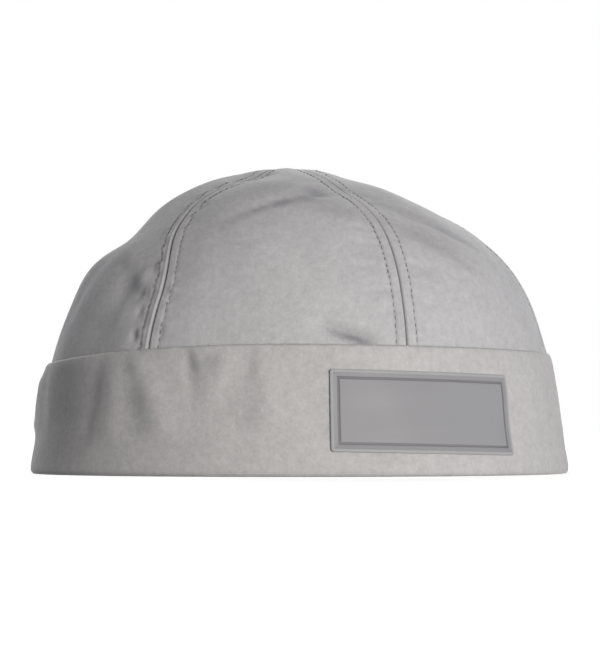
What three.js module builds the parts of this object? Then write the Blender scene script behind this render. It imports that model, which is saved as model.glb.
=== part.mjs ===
import * as THREE from 'three';

// A rain hat without a brim: a soft crown of six panels, a turned-up cuff, a satin lining with a
// narrow strip at the mouth, and a moulded rubber label patch on the cuff.
// Millimetres, +Z up, the front of the hat towards -Y. The origin is the middle of the rim, in the
// plane that the rim rests on. An angle round the hat is 0 at the front and grows towards +X.

// Driving dimensions of the crown
const crownHalfWidth = 88;
const crownHalfLength = 101.5;
const crownWidestHeight = 23;
const crownFullness = 0.82;
const domeHeight = 80;
const crownFootHeight = 9.3;
const crownFootFlare = 1.7;
const crownWall = 1.3;
const crownTipClimb = 88.6;
const leastSpread = 0.02;
const seamGap = 0.3;
const seamDip = { depth: 0.9, width: 5, toClimb: 12 };
const seamWanderTop = 61;
const reliefFade = { swell: 2.5, dip: 4 };
const panelSwell = { rise: 1.3, fromClimb: 14, toClimb: 50 };
const peak = { rise: 2.5, spread: 30, lean: -4, leanFrom: 45 };

// Driving dimensions of the cuff
const cuffHeight = 42.5;
const cuffLegHeight = 9;
const cuffWave = { top: 35, fade: 13, gain: 4 };
const cuffLift = { right: -1, left: -5, front: 0, back: 1.4 };

// Driving dimensions of the lining
const liningWall = 1;
const liningGap = 0.8;
const liningHemOutset = 0;
const liningFootHeight = 8.3;
const liningHemRise = 6;
const liningSlack = 4;

// Driving dimensions of the label patch
const patch = {
  angle: 32.8,
  middleHeight: 21.4,
  width: 71.5,
  height: 27,
  cornerRadius: 1,
  leastRadius: 0.2,
  tilt: 0.45,
  gap: 0.35,
};

const shellFabric = new THREE.MeshStandardMaterial({ color: 0xbab6b3, roughness: 0.85, metalness: 0 });
const cuffFabric = new THREE.MeshStandardMaterial({ color: 0xb6b2af, roughness: 0.85, metalness: 0 });
const liningSatin = new THREE.MeshStandardMaterial({ color: 0x6b574b, roughness: 0.4, metalness: 0 });
const stripSatin = new THREE.MeshStandardMaterial({ color: 0x7d6152, roughness: 0.4, metalness: 0 });
const labelRubber = new THREE.MeshStandardMaterial({ color: 0xa3a2a1, roughness: 0.55, metalness: 0 });

// The seams between the crown's panels, with how far each wanders at its foot and near its top, and
// the climb from which it wanders
const seams = [
  { angle: -150, footTurn: 0, topTurn: -1.5, turnFrom: 15 },
  { angle: -90, footTurn: 0.5, topTurn: -2.5, turnFrom: 10 },
  { angle: -30, footTurn: 0.4, topTurn: -11.5, turnFrom: 26 },
  { angle: 30, footTurn: -1.3, topTurn: 3.6, turnFrom: 5 },
  { angle: 90, footTurn: 0, topTurn: 0.8, turnFrom: 0 },
  { angle: 150, footTurn: 0.6, topTurn: -0.6, turnFrom: 0 },
];

// Dents of the crown, and bulges where the depth is negative: where each lies on it, how wide and
// tall it is, and how far it goes in
const crownDents = [
  { angle: -76, climb: 47, width: 24, height: 9, depth: 1.9 },
  { angle: -68, climb: 35, width: 24, height: 12, depth: -1.6 },
  { angle: -68, climb: 62, width: 22, height: 9, depth: -0.9 },
  { angle: 92, climb: 34, width: 40, height: 17, depth: -2.2 },
  { angle: 58, climb: 56, width: 24, height: 12, depth: 1 },
  { angle: 36, climb: 66, width: 22, height: 9, depth: 1.2 },
  { angle: -34, climb: 76, width: 10, height: 7, depth: 1.5 },
  { angle: 60, climb: 75, width: 12, height: 7, depth: 1 },
  { angle: -44, climb: 30, width: 8, height: 22, depth: 0.6 },
  { angle: 150, climb: 50, width: 18, height: 18, depth: 1.6 },
];

// Soft upright waves of the cuff: a dent is positive and a bulge negative
const cuffWaves = [
  { angle: -86, width: 10, depth: -1.6 },
  { angle: -58, width: 7.5, depth: 0.9 },
  { angle: -39.8, width: 4.5, depth: -0.9 },
  { angle: -27.5, width: 5, depth: -0.9 },
  { angle: 79, width: 7.5, depth: 0.7 },
  { angle: 118, width: 8.5, depth: -0.8 },
  { angle: -125.5, width: 8.5, depth: 0.9 },
  { angle: 166, width: 9, depth: -0.7 },
];

// The cuff's section, round its outer face, under the fold, up its inner leg and back inside the
// fold to the lip. Outset is how far a point stands out from the crown's plain oval at its height.
const cuffSection = [
  { height: 42.5, outset: 1.06 },
  { height: 41.6, outset: 1.47 },
  { height: 39.8, outset: 1.65 },
  { height: 36.4, outset: 1.75 },
  { height: 30.6, outset: 1.9 },
  { height: 22.0, outset: 2.6 },
  { height: 10.4, outset: 4.1 },
  { height: 4.2, outset: 5.2 },
  { height: 1.5, outset: 5.4 },
  { height: 0.4, outset: 5.05 },
  { height: 0.0, outset: 4.2 },
  { height: 0.0, outset: 2.2 },
  { height: 0.7, outset: 1.2 },
  { height: 2.3, outset: 0.75 },
  { height: 9.0, outset: 0.4 },
  { height: 9.0, outset: 1.7 },
  { height: 2.7, outset: 2.0 },
  { height: 1.7, outset: 2.9 },
  { height: 2.7, outset: 3.9 },
  { height: 10.4, outset: 2.8 },
  { height: 22.0, outset: 1.3 },
  { height: 30.6, outset: 0.6 },
  { height: 36.4, outset: 0.42 },
  { height: 42.1, outset: 0.4 },
];

// Section of the satin strip at the mouth
const stripSection = [
  { height: 8.0, outset: 0.1 },
  { height: 3.2, outset: 0.35 },
  { height: 3.2, outset: -0.55 },
  { height: 4.4, outset: -1.1 },
  { height: 6.6, outset: -1.25 },
  { height: 8.0, outset: -0.95 },
];

// Folds of the lining. Each runs from one point to another and stands into the hat.
const liningFolds = [
  { fromAngle: -122, fromHeight: 34, toAngle: -138, toHeight: 12, width: 6, depth: 4.2 },
  { fromAngle: -141, fromHeight: 42, toAngle: -140, toHeight: 11, width: 5, depth: 5 },
  { fromAngle: -149, fromHeight: 21, toAngle: -144, toHeight: 15, width: 5.5, depth: 4 },
  { fromAngle: -157, fromHeight: 44, toAngle: -151, toHeight: 19, width: 5.5, depth: 3.6 },
  { fromAngle: -168, fromHeight: 34, toAngle: 172, toHeight: 12, width: 7, depth: 3.4 },
  { fromAngle: -176, fromHeight: 32, toAngle: 166, toHeight: 11, width: 6, depth: 3 },
  { fromAngle: 158, fromHeight: 26, toAngle: 150, toHeight: 13, width: 6, depth: 3 },
  { fromAngle: 143, fromHeight: 26, toAngle: 141, toHeight: 12, width: 5.5, depth: 2.6 },
  { fromAngle: 122, fromHeight: 48, toAngle: 119, toHeight: 10, width: 5, depth: 3.6 },
  { fromAngle: 100, fromHeight: 30, toAngle: 90, toHeight: 13, width: 6, depth: 3.4 },
  { fromAngle: 68, fromHeight: 44, toAngle: 74, toHeight: 14, width: 7, depth: 3.4 },
  { fromAngle: 40, fromHeight: 58, toAngle: 26, toHeight: 20, width: 8, depth: 3.4 },
  { fromAngle: 5, fromHeight: 50, toAngle: -6, toHeight: 14, width: 7, depth: 3.2 },
  { fromAngle: -28, fromHeight: 62, toAngle: -38, toHeight: 22, width: 8, depth: 3.4 },
  { fromAngle: -62, fromHeight: 46, toAngle: -56, toHeight: 14, width: 7, depth: 3.2 },
  { fromAngle: -96, fromHeight: 40, toAngle: -88, toHeight: 14, width: 6, depth: 3.4 },
];

// Steps of the meshes
const panelAcross = [-1, -0.94, -0.8, -0.53, -0.27, 0, 0.27, 0.53, 0.8, 0.94, 1];
const panelRows = 12;
const ringSteps = 72;
const liningSteps = 78;
const liningRows = 12;
const liningRowEasing = 1.25;
const patchLongSteps = 11;
const patchCornerSteps = 2;

const { cos, sin, asin, exp, max, min, PI } = Math;
const { lerp, mapLinear, smoothstep } = THREE.MathUtils;
const radians = (degrees) => (degrees * PI) / 180;
const gauss = (distance, width) => exp(-((distance / width) ** 2));
const turnBetween = (a, b) => {
  const turn = (((a - b + PI) % (2 * PI)) + 2 * PI) % (2 * PI);
  return turn - PI;
};

// The share of its widest oval that the crown has at a height
function spreadAt(height) {
  const share = max(0, height - crownWidestHeight) / domeHeight;
  return Math.sqrt(1 - share ** 2);
}

// A point out from the crown's plain oval
function ovalPoint(angle, outset, height) {
  const spread = spreadAt(height);
  const x = (crownHalfWidth * spread + outset) * sin(angle);
  const y = -(crownHalfLength * spread ** crownFullness + outset) * cos(angle);
  return new THREE.Vector3(x, y, height);
}

// The crown's plain face. Climb is 0 at the widest height and a right angle at the top. Its front and
// back are fuller than its sides.
const footClimb = asin((crownFootHeight - crownWidestHeight) / domeHeight);

function crownFace(angle, climb) {
  const spread = climb > 0 ? cos(climb) : 1;
  const flare = climb < 0 ? crownFootFlare * (sin(climb) / sin(footClimb)) ** 2 : 0;
  const point = new THREE.Vector3(
    (crownHalfWidth * spread + flare) * sin(angle),
    -(crownHalfLength * spread ** crownFullness + flare) * cos(angle),
    crownWidestHeight + domeHeight * sin(climb),
  );
  point.z += peak.rise * gauss(crownHalfWidth * spread, peak.spread);
  point.x += peak.lean * smoothstep(climb, radians(peak.leanFrom), PI / 2);
  return point;
}

function crownNormal(angle, climb) {
  const step = 0.002;
  const safeClimb = min(climb, PI / 2 - 3 * step);
  const round = crownFace(angle + step, safeClimb).sub(crownFace(angle - step, safeClimb));
  const up = crownFace(angle, safeClimb + step).sub(crownFace(angle, safeClimb - step));
  return round.cross(up).normalize();
}

const localRadius = (climb) => crownHalfWidth * max(cos(climb), leastSpread);

function seamAngle(seam, climb) {
  const share = smoothstep(climb, radians(seam.turnFrom), radians(seamWanderTop));
  return radians(seam.angle + lerp(seam.footTurn, seam.topTurn, share));
}

// How far the crown's face stands out from its plain form
function crownRelief(angle, climb) {
  const turns = seams.map((seam) => Math.abs(turnBetween(angle, seamAngle(seam, climb))));
  const offSeam = min(...turns);
  const across = min(1, offSeam / (PI / seams.length));
  const rising = smoothstep(climb, radians(panelSwell.fromClimb), radians(panelSwell.toClimb));
  const swellShare = rising * min(1, cos(climb) * reliefFade.swell);
  const dipShare = smoothstep(climb, 0, radians(seamDip.toClimb)) * min(1, cos(climb) * reliefFade.dip);
  let relief = panelSwell.rise * sin((PI / 2) * across) ** 2 * swellShare;
  relief -= seamDip.depth * gauss(offSeam * localRadius(climb), seamDip.width) * dipShare;
  for (const dent of crownDents) {
    const aside = turnBetween(angle, radians(dent.angle)) * localRadius(climb);
    const above = (climb - radians(dent.climb)) * domeHeight;
    relief -= dent.depth * gauss(aside, dent.width) * gauss(above, dent.height);
  }
  return relief;
}

// A closed mesh from a list of points and a list of faces with three corners each
function meshOf(name, points, faces, material) {
  const geometry = new THREE.BufferGeometry();
  geometry.setAttribute('position', new THREE.Float32BufferAttribute(points.flatMap((p) => p.toArray()), 3));
  geometry.setIndex(faces.flat());
  geometry.computeVertexNormals();
  const mesh = new THREE.Mesh(geometry, material);
  mesh.name = name;
  return mesh;
}

const quad = (a, b, c, d) => [[a, b, c], [a, c, d]];

// One of the crown's panels, a wedge that narrows to a tip at the top
function crownPanel(name, rightSeam, leftSeam) {
  const columns = panelAcross.length;
  const points = [];
  for (const inset of [0, crownWall]) {
    for (let row = 0; row <= panelRows; row++) {
      const climb = lerp(footClimb, radians(crownTipClimb), row / panelRows);
      const rightEdge = seamAngle(rightSeam, climb);
      const wholeTurn = turnBetween(rightEdge, seamAngle(leftSeam, climb));
      const halfTurn = wholeTurn / 2 - asin(seamGap / 2 / localRadius(climb));
      for (const across of panelAcross) {
        const angle = rightEdge - wholeTurn / 2 + across * halfTurn;
        const out = crownRelief(angle, climb) - inset;
        const point = crownFace(angle, climb).addScaledVector(crownNormal(angle, climb), out);
        if (row === 0) point.z = crownFootHeight;
        points.push(point);
      }
    }
  }
  const outer = (row, column) => row * columns + column;
  const inner = (row, column) => outer(row, column) + (panelRows + 1) * columns;
  const faces = [];
  for (let row = 0; row < panelRows; row++) {
    for (let column = 0; column < columns - 1; column++) {
      const next = column + 1;
      faces.push(...quad(outer(row, column), outer(row, next), outer(row + 1, next), outer(row + 1, column)));
      faces.push(...quad(inner(row, column), inner(row + 1, column), inner(row + 1, next), inner(row, next)));
    }
    const last = columns - 1;
    faces.push(...quad(inner(row, 0), outer(row, 0), outer(row + 1, 0), inner(row + 1, 0)));
    faces.push(...quad(outer(row, last), inner(row, last), inner(row + 1, last), outer(row + 1, last)));
  }
  for (let column = 0; column < columns - 1; column++) {
    faces.push(...quad(inner(0, column), inner(0, column + 1), outer(0, column + 1), outer(0, column)));
    faces.push(...quad(
      outer(panelRows, column),
      outer(panelRows, column + 1),
      inner(panelRows, column + 1),
      inner(panelRows, column),
    ));
  }
  return meshOf(name, points, faces, shellFabric);
}

// A closed section carried round the hat, where place gives the point of an angle and a corner
function ringSolid(name, section, place, material) {
  const points = [];
  for (let step = 0; step < ringSteps; step++) {
    const angle = ((step + 0.5) / ringSteps) * 2 * PI;
    for (const corner of section) points.push(place(angle, corner.outset, corner.height));
  }
  const faces = [];
  const at = (step, corner) => (step % ringSteps) * section.length + (corner % section.length);
  for (let step = 0; step < ringSteps; step++) {
    for (let corner = 0; corner < section.length; corner++) {
      const next = corner + 1;
      faces.push(...quad(at(step, corner), at(step, next), at(step + 1, next), at(step + 1, corner)));
    }
  }
  return meshOf(name, points, faces, material);
}

// How much taller the cuff is at an angle than its plain height
function liftAt(angle) {
  const sideways = sin(angle) > 0 ? cuffLift.right : cuffLift.left;
  const lengthways = cos(angle) > 0 ? cuffLift.front : cuffLift.back;
  return sideways * sin(angle) ** 2 + lengthways * cos(angle) ** 2;
}

// A point of the cuff. Its lift grows from its inner leg to its lip, and it waves in and out between
// the two.
function cuffPoint(angle, outset, height) {
  const share = min(1, max(0, (height - cuffLegHeight) / (cuffHeight - cuffLegHeight)));
  const waveShare = min(1, cuffWave.gain * share, max(0, cuffWave.top - height) / cuffWave.fade);
  let depth = 0;
  for (const wave of cuffWaves) {
    depth += wave.depth * gauss(turnBetween(angle, radians(wave.angle)), radians(wave.width));
  }
  return ovalPoint(angle, outset - depth * waveShare, height + liftAt(angle) * share);
}

function cuffFaceOutset(height) {
  const next = cuffSection.findIndex((row, index) => index > 0 && row.height <= height);
  const [above, below] = [cuffSection[next - 1], cuffSection[next]];
  return mapLinear(height, above.height, below.height, above.outset, below.outset);
}

// How far the lining's folds stand in from its plain form
function liningFold(angle, height) {
  let depth = 0;
  const radius = (crownHalfWidth + crownHalfLength) / 2;
  for (const fold of liningFolds) {
    const aside = turnBetween(angle, radians(fold.fromAngle)) * radius;
    const alongSide = turnBetween(radians(fold.toAngle), radians(fold.fromAngle)) * radius;
    const alongUp = fold.toHeight - fold.fromHeight;
    const up = height - fold.fromHeight;
    const share = min(1, max(0, (aside * alongSide + up * alongUp) / (alongSide ** 2 + alongUp ** 2)));
    const distance = Math.hypot(aside - share * alongSide, up - share * alongUp);
    depth = max(depth, fold.depth * gauss(distance, fold.width));
  }
  return depth;
}

// A point of the lining, a given thickness in from its outer face
function liningPoint(angle, climb, inset) {
  const face = crownFace(angle, climb);
  const normal = crownNormal(angle, climb);
  const hem = smoothstep(face.z, liningFootHeight, liningFootHeight + liningHemRise);
  const slack = liningSlack * max(0, sin(climb)) ** 2 + panelSwell.rise;
  const point = face.addScaledVector(normal, -(crownWall + liningGap + slack * hem));
  const limit = ovalPoint(angle, liningHemOutset, point.z);
  if (climb < 0 && Math.hypot(point.x, point.y) > Math.hypot(limit.x, limit.y)) point.copy(limit);
  return point.addScaledVector(normal, -inset - hem * liningFold(angle, point.z));
}

function lining() {
  const footAt = asin((liningFootHeight - crownWidestHeight) / domeHeight);
  const points = [];
  for (const inset of [0, liningWall]) {
    for (let row = 0; row < liningRows; row++) {
      const climb = lerp(footAt, PI / 2, (row / liningRows) ** liningRowEasing);
      for (let step = 0; step < liningSteps; step++) {
        const point = liningPoint((step / liningSteps) * 2 * PI, climb, inset);
        if (row === 0) point.z = liningFootHeight;
        points.push(point);
      }
    }
    points.push(liningPoint(0, PI / 2, inset));
  }
  const shellSize = liningRows * liningSteps + 1;
  const outer = (row, step) => row * liningSteps + (step % liningSteps);
  const inner = (row, step) => outer(row, step) + shellSize;
  const faces = [];
  for (let step = 0; step < liningSteps; step++) {
    const next = step + 1;
    for (let row = 0; row < liningRows - 1; row++) {
      faces.push(...quad(outer(row, step), outer(row, next), outer(row + 1, next), outer(row + 1, step)));
      faces.push(...quad(inner(row, step), inner(row + 1, step), inner(row + 1, next), inner(row, next)));
    }
    const top = liningRows - 1;
    faces.push([outer(top, step), outer(top, next), shellSize - 1]);
    faces.push([inner(top, next), inner(top, step), 2 * shellSize - 1]);
    faces.push(...quad(inner(0, step), inner(0, next), outer(0, next), outer(0, step)));
  }
  return meshOf('lining', points, faces, liningSatin);
}

// Rings of the label patch from its back edge to its field: how far each lies in from the patch's
// edge, and its height above the patch's back
const patchRings = [
  { inset: 0, rise: 0 },
  { inset: 0, rise: 0.6 },
  { inset: 0.2, rise: 0.75 },
  { inset: 1.5, rise: 0.75 },
  { inset: 1.8, rise: 1.2 },
  { inset: 2.1, rise: 1.2 },
  { inset: 2.9, rise: 0.7 },
];

// Half of a round-cornered rectangle's outline, from its left end over its top to its right end
function topOutline(width, height, cornerRadius) {
  const points = [];
  const straight = width / 2 - cornerRadius;
  const corner = (sign, share) => {
    const turn = (share * PI) / 2;
    const x = sign * (straight + cornerRadius * cos(turn));
    points.push(new THREE.Vector2(x, height / 2 - cornerRadius + cornerRadius * sin(turn)));
  };
  for (let step = 0; step <= patchCornerSteps; step++) corner(-1, step / patchCornerSteps);
  for (let step = 1; step <= patchLongSteps; step++) {
    points.push(new THREE.Vector2(straight * ((2 * step) / (patchLongSteps + 1) - 1), height / 2));
  }
  for (let step = patchCornerSteps; step >= 0; step--) corner(1, step / patchCornerSteps);
  return points;
}

// The arc along the cuff's front from one angle, found in small steps
function angleAlong(startAngle, distance, outset) {
  const steps = 24;
  let angle = startAngle;
  for (let step = 0; step < steps; step++) {
    const speed = Math.hypot((crownHalfWidth + outset) * cos(angle), (crownHalfLength + outset) * sin(angle));
    angle += distance / steps / speed;
  }
  return angle;
}

function labelPatch() {
  const points = [];
  const onCuff = (along, up, standOff) => {
    const seenHeight = patch.middleHeight + up - along * sin(radians(patch.tilt));
    const angle = angleAlong(radians(patch.angle), along, cuffFaceOutset(seenHeight));
    // The cuff's lift is taken out, because the patch doesn't stretch with it
    const stretch = liftAt(angle) / (cuffHeight - cuffLegHeight);
    const lifted = (seenHeight + cuffLegHeight * stretch) / (1 + stretch);
    const height = seenHeight > cuffLegHeight ? lifted : seenHeight;
    const outset = cuffFaceOutset(height);
    const lean = Math.atan((cuffFaceOutset(height - 1) - cuffFaceOutset(height + 1)) / 2);
    return cuffPoint(angle, outset + standOff * cos(lean), height + standOff * sin(lean));
  };
  for (const ring of patchRings) {
    const radius = max(patch.leastRadius, patch.cornerRadius - ring.inset);
    const top = topOutline(patch.width - 2 * ring.inset, patch.height - 2 * ring.inset, radius);
    const loop = [...top, ...top.toReversed().map((p) => new THREE.Vector2(p.x, -p.y))];
    for (const place of loop) points.push(onCuff(place.x, place.y, patch.gap + ring.rise));
  }
  const count = points.length / patchRings.length;
  const at = (ring, place) => ring * count + (place % count);
  const faces = [];
  for (let ring = 0; ring < patchRings.length - 1; ring++) {
    for (let place = 0; place < count; place++) {
      faces.push(...quad(at(ring, place), at(ring + 1, place), at(ring + 1, place + 1), at(ring, place + 1)));
    }
  }
  const last = patchRings.length - 1;
  for (let place = 0; place < count / 2 - 1; place++) {
    const below = count - 1 - place;
    faces.push(...quad(at(last, place), at(last, below), at(last, below - 1), at(last, place + 1)));
    faces.push(...quad(at(0, place), at(0, place + 1), at(0, below - 1), at(0, below)));
  }
  return meshOf('label_patch', points, faces, labelRubber);
}

const hat = new THREE.Group();
const panelNames = ['back_left', 'front_left', 'front', 'front_right', 'back_right', 'back'];
panelNames.forEach((side, index) => {
  hat.add(crownPanel(`crown_panel_${side}`, seams[(index + 1) % seams.length], seams[index]));
});
hat.add(ringSolid('cuff', cuffSection, cuffPoint, cuffFabric));
hat.add(lining());
hat.add(ringSolid('lining_strip', stripSection, ovalPoint, stripSatin));
hat.add(labelPatch());

export default hat;
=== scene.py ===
"""A rain hat without a brim: its panels, cuff, lining, label and stitching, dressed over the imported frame.

Metres, +Z up, the front of the hat towards -Y. The origin is the middle of the rim, in the plane that the
rim rests on. An angle round the hat is 0 at the front and grows towards +X. The climb of a point of the
crown is 0 at its widest height and a right angle at its top. Tables of folds and dents give angles and
climbs in degrees and sizes in millimetres.
"""

from math import asin, cos, hypot, pi, radians, sin
from typing import NamedTuple

import bmesh
import bpy
import numpy as np
from bpy.props import FloatProperty, FloatVectorProperty, IntProperty, PointerProperty
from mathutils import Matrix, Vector


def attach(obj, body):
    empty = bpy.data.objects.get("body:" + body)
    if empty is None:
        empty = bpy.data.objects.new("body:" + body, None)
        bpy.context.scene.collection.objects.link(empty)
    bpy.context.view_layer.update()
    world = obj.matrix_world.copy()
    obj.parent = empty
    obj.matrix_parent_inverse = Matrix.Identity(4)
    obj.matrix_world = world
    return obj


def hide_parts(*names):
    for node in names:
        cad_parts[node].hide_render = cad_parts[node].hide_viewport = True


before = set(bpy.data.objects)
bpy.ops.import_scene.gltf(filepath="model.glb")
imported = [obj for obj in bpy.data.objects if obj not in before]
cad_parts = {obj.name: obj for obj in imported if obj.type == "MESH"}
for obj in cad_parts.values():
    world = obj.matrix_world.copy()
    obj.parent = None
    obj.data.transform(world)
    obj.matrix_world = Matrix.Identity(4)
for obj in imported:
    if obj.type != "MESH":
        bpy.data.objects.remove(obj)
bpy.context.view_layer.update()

bl_info = {
    "name": "Brimless rain hat",
    "version": (1, 0, 0),
    "blender": (4, 5, 0),
    "location": "3D View > Sidebar > Rain hat",
    "description": "Builds a six-panel rain hat with a turned-up cuff, a satin lining and a rubber label",
    "category": "Object",
}

MM = 0.001


def linear_colour(code):
    """An sRGB hex code as a linear colour with alpha."""
    channels = [int(code[i : i + 2], 16) / 255 for i in (1, 3, 5)]
    return [c / 12.92 if c <= 0.04045 else ((c + 0.055) / 1.055) ** 2.4 for c in channels] + [1.0]


def length(name, description, millimetres):
    """A property that holds a length."""
    metres = millimetres * MM
    return FloatProperty(name=name, description=description, default=metres, unit="LENGTH", precision=5)


def turn(name, description, degrees):
    """A property that holds an angle."""
    return FloatProperty(name=name, description=description, default=radians(degrees), unit="ROTATION")


def colour(name, description, code):
    """A property that holds a colour."""
    base = linear_colour(code)
    return FloatVectorProperty(
        name=name, description=description, default=base, size=4, min=0, max=1, subtype="COLOR"
    )


def number_of(name, description, number, least):
    """A property that holds a number of steps or faces."""
    return IntProperty(name=name, description=description, default=number, min=least)


def light_strength(name, description, value):
    """A property that holds the strength of a light."""
    return FloatProperty(name=name, description=description, default=value, min=0)


class CrownSettings(bpy.types.PropertyGroup):
    """Sizes of the crown's six panels."""

    half_width: length("Half width", "Half of the crown's width at its widest height", 88)
    half_length: length("Half length", "Half of the crown's length at its widest height", 101.5)
    widest_height: length("Widest height", "Height above the rim where the crown is widest", 23)
    dome_height: length("Dome height", "Height of the dome above the widest height", 80)
    fullness: FloatProperty(
        name="Fullness",
        description="How upright the front and back are, full at 0 and round at 1",
        default=0.82,
    )
    foot_height: length("Foot height", "Height of the panels' lower edge, inside the cuff", 9.3)
    foot_flare: length("Foot flare", "How far the panels spread at their lower edge", 1.7)
    wall: length("Wall", "Thickness of the outer fabric with its barrier film", 1.2)
    tip_radius: length("Tip radius", "Distance from the top's middle to a panel's tip", 0.7)
    seam_gap: length("Seam gap", "Gap between two panels in a seam", 0.12)
    swell: length("Swell", "How far a panel's middle stands out between its seams", 1.3)
    allowance: length("Seam allowance", "How far the pressed-open edges lift the fabric beside a seam", 0.2)
    groove: length("Groove", "Depth of the groove along a seam", 0.7)
    groove_width: length("Groove width", "Half width of the groove along a seam", 0.42)
    ridge_offset: length("Ridge offset", "How far left of a seam the fabric stands up along it", 0.95)
    ridge: length("Ridge", "Height of the fabric that stands up at a seam's left", 0.22)
    softness: length("Softness", "Height of the fabric's broad, soft unevenness", 0.5)
    columns: number_of("Columns", "Columns of faces across a panel", 96, 24)
    rows: number_of("Rows", "Rows of faces up a panel", 156, 24)


class StitchSettings(bpy.types.PropertyGroup):
    """Sizes of the topstitching beside the crown's seams."""

    left_offset: length("Left offset", "Distance of the stitch row at a seam's left", 3.85)
    right_offset: length("Right offset", "Distance of the stitch row at a seam's right", 4.05)
    pitch: length("Pitch", "Distance from one stitch to the next", 2.6)
    stitch_length: length("Stitch length", "Visible length of a stitch", 1.9)
    thread_width: length("Thread width", "Width of the sewing thread", 0.36)
    wander: length("Wander", "How far a stitch lies off its place", 0.07)
    sink: length("Sink", "How deep a stitch row pulls into the fabric", 0.3)
    pucker: length("Pucker", "Height of the puckers beside a stitch row", 0.3)
    pucker_reach: length("Pucker reach", "How far the puckers run out from a stitch row", 4.2)


class CuffSettings(bpy.types.PropertyGroup):
    """Sizes of the turned-up cuff."""

    leg_height: length("Leg height", "Height of the cuff's inner leg, where its lift begins", 9)
    height: length("Height", "Height of the cuff before its lift", 42.5)
    wave_fade: length("Ripple fade", "Height from which the cuff's ripples fade towards its edge", 36)
    lift_right: length("Lift at the right", "How much taller the cuff is at its right side", -1)
    lift_left: length("Lift at the left", "How much taller the cuff is at its left side", -5)
    lift_back: length("Lift at the back", "How much taller the cuff is at the back", 1.4)
    softness: length("Softness", "Height of the fabric's broad, soft unevenness", 0.3)
    join_depth: length("Join depth", "Depth of the upright join at the back", 0.7)
    steps: number_of("Steps", "Steps round the cuff", 720, 72)
    section_steps: number_of("Section steps", "Steps round the cuff's section", 116, 32)


class LiningSettings(bpy.types.PropertyGroup):
    """Sizes of the loose satin lining and of the strip at the mouth."""

    wall: length("Wall", "Thickness of the satin with its barrier film", 0.9)
    gap: length("Gap", "Gap between the outer fabric and the lining", 0.8)
    slack: length("Slack", "How far the lining hangs off the crown at its top", 4)
    foot_height: length("Foot height", "Height of the lining's lower edge", 8.3)
    hem_rise: length("Hem rise", "Height over which the lining stays flat at its hem", 6)
    wrinkle: length("Wrinkle", "Height of the satin's small wrinkles", 0.9)
    gather: length("Gather", "Depth of the gathers at the hem", 0.55)
    gather_pitch: length("Gather pitch", "Distance from one gather to the next", 7)
    steps: number_of("Steps", "Steps round the lining", 420, 60)
    rows: number_of("Rows", "Rows of faces up the lining", 104, 12)
    strip_steps: number_of("Strip steps", "Steps round the strip at the mouth", 288, 72)


class LabelSettings(bpy.types.PropertyGroup):
    """Sizes of the moulded rubber label patch."""

    angle: turn("Angle", "Where the label's middle lies round the hat", 33.1)
    middle_height: length("Middle height", "Height of the label's middle above the rim", 20.5)
    width: length("Width", "Width of the label", 71)
    height: length("Height", "Height of the label", 26.5)
    corner_radius: length("Corner radius", "Radius of the label's corners", 1)
    tilt: turn("Tilt", "How far the label's right end dips", 1.15)
    gap: length("Gap", "Gap between the label's back and the cuff", 0.1)


class FinishSettings(bpy.types.PropertyGroup):
    """Colours of the hat's materials."""

    crown_fabric: colour("Crown fabric", "Warm grey twill of the crown", "#B2AFAF")
    cuff_fabric: colour("Cuff fabric", "Warm grey twill of the cuff", "#B3AFAD")
    thread: colour("Thread", "Grey sewing thread", "#837E7B")
    satin: colour("Satin", "Brown satin of the lining", "#816553")
    strip: colour("Strip", "Pinkish brown satin of the strip", "#80624F")
    rubber: colour("Rubber", "Mid grey silicone rubber of the label", "#9A9898")
    floor: colour("Floor", "Pale studio floor", "#F2F2F2")


class StudioSettings(bpy.types.PropertyGroup):
    """Camera, light and floor."""

    camera_azimuth: turn("Camera azimuth", "Camera's turn from the hat's front towards its right", 4.5)
    camera_height: length("Camera height", "Height of the camera above the floor", 14)
    camera_distance: length("Camera distance", "Distance from the camera to the hat's middle", 1158)
    aim_height: length("Aim height", "Height of the point that the camera looks at", 50)
    lens: FloatProperty(
        name="Lens", description="Focal length in millimetres on a 36 mm sensor", default=180.6
    )
    floor_radius: length("Floor radius", "Radius of the studio floor", 40000)
    ambient: light_strength("Ambient", "Strength of the studio's even light", 0.12)
    key: light_strength("Key", "Strength of the main light", 3.0)
    fill: light_strength("Fill", "Strength of the soft light from the upper left", 0.85)
    side: light_strength("Side", "Strength of the soft light from the right", 0.8)
    rear: light_strength("Rear", "Strength of the soft light from behind", 2.3)
    table: light_strength("Table", "Light that the floor gives off by itself", 0.62)


class RainHatSettings(bpy.types.PropertyGroup):
    """All settings of the hat and its studio."""

    crown: PointerProperty(type=CrownSettings)
    stitches: PointerProperty(type=StitchSettings)
    cuff: PointerProperty(type=CuffSettings)
    lining: PointerProperty(type=LiningSettings)
    label: PointerProperty(type=LabelSettings)
    finish: PointerProperty(type=FinishSettings)
    studio: PointerProperty(type=StudioSettings)


class Seam(NamedTuple):
    """A seam of the crown, how far it turns aside at its foot and near its top, the climb from which it
    turns, how far it turns back over the crest, and how strongly it puckers."""

    angle: float
    foot_turn: float
    top_turn: float
    turn_from: float
    crest_turn: float
    pucker: float


class Dent(NamedTuple):
    """A dent of the crown, or a bulge where its depth is negative."""

    angle: float
    climb: float
    width: float
    height: float
    depth: float


class Crease(NamedTuple):
    """A soft crease of the crown from one place to another."""

    from_angle: float
    from_climb: float
    to_angle: float
    to_climb: float
    width: float
    depth: float


class PaintedShade(NamedTuple):
    """Painted shade on the cloth, from one place to another: the shade of a fold, or of a broad patch
    where less light falls. Height is a climb on the crown.
    """

    from_angle: float
    from_height: float
    to_angle: float
    to_height: float
    width: float
    strength: float


class Ripple(NamedTuple):
    """A soft valley of the cuff from one place to another, or a ridge where its depth is negative."""

    from_angle: float
    from_height: float
    to_angle: float
    to_height: float
    width: float
    depth: float


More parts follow.
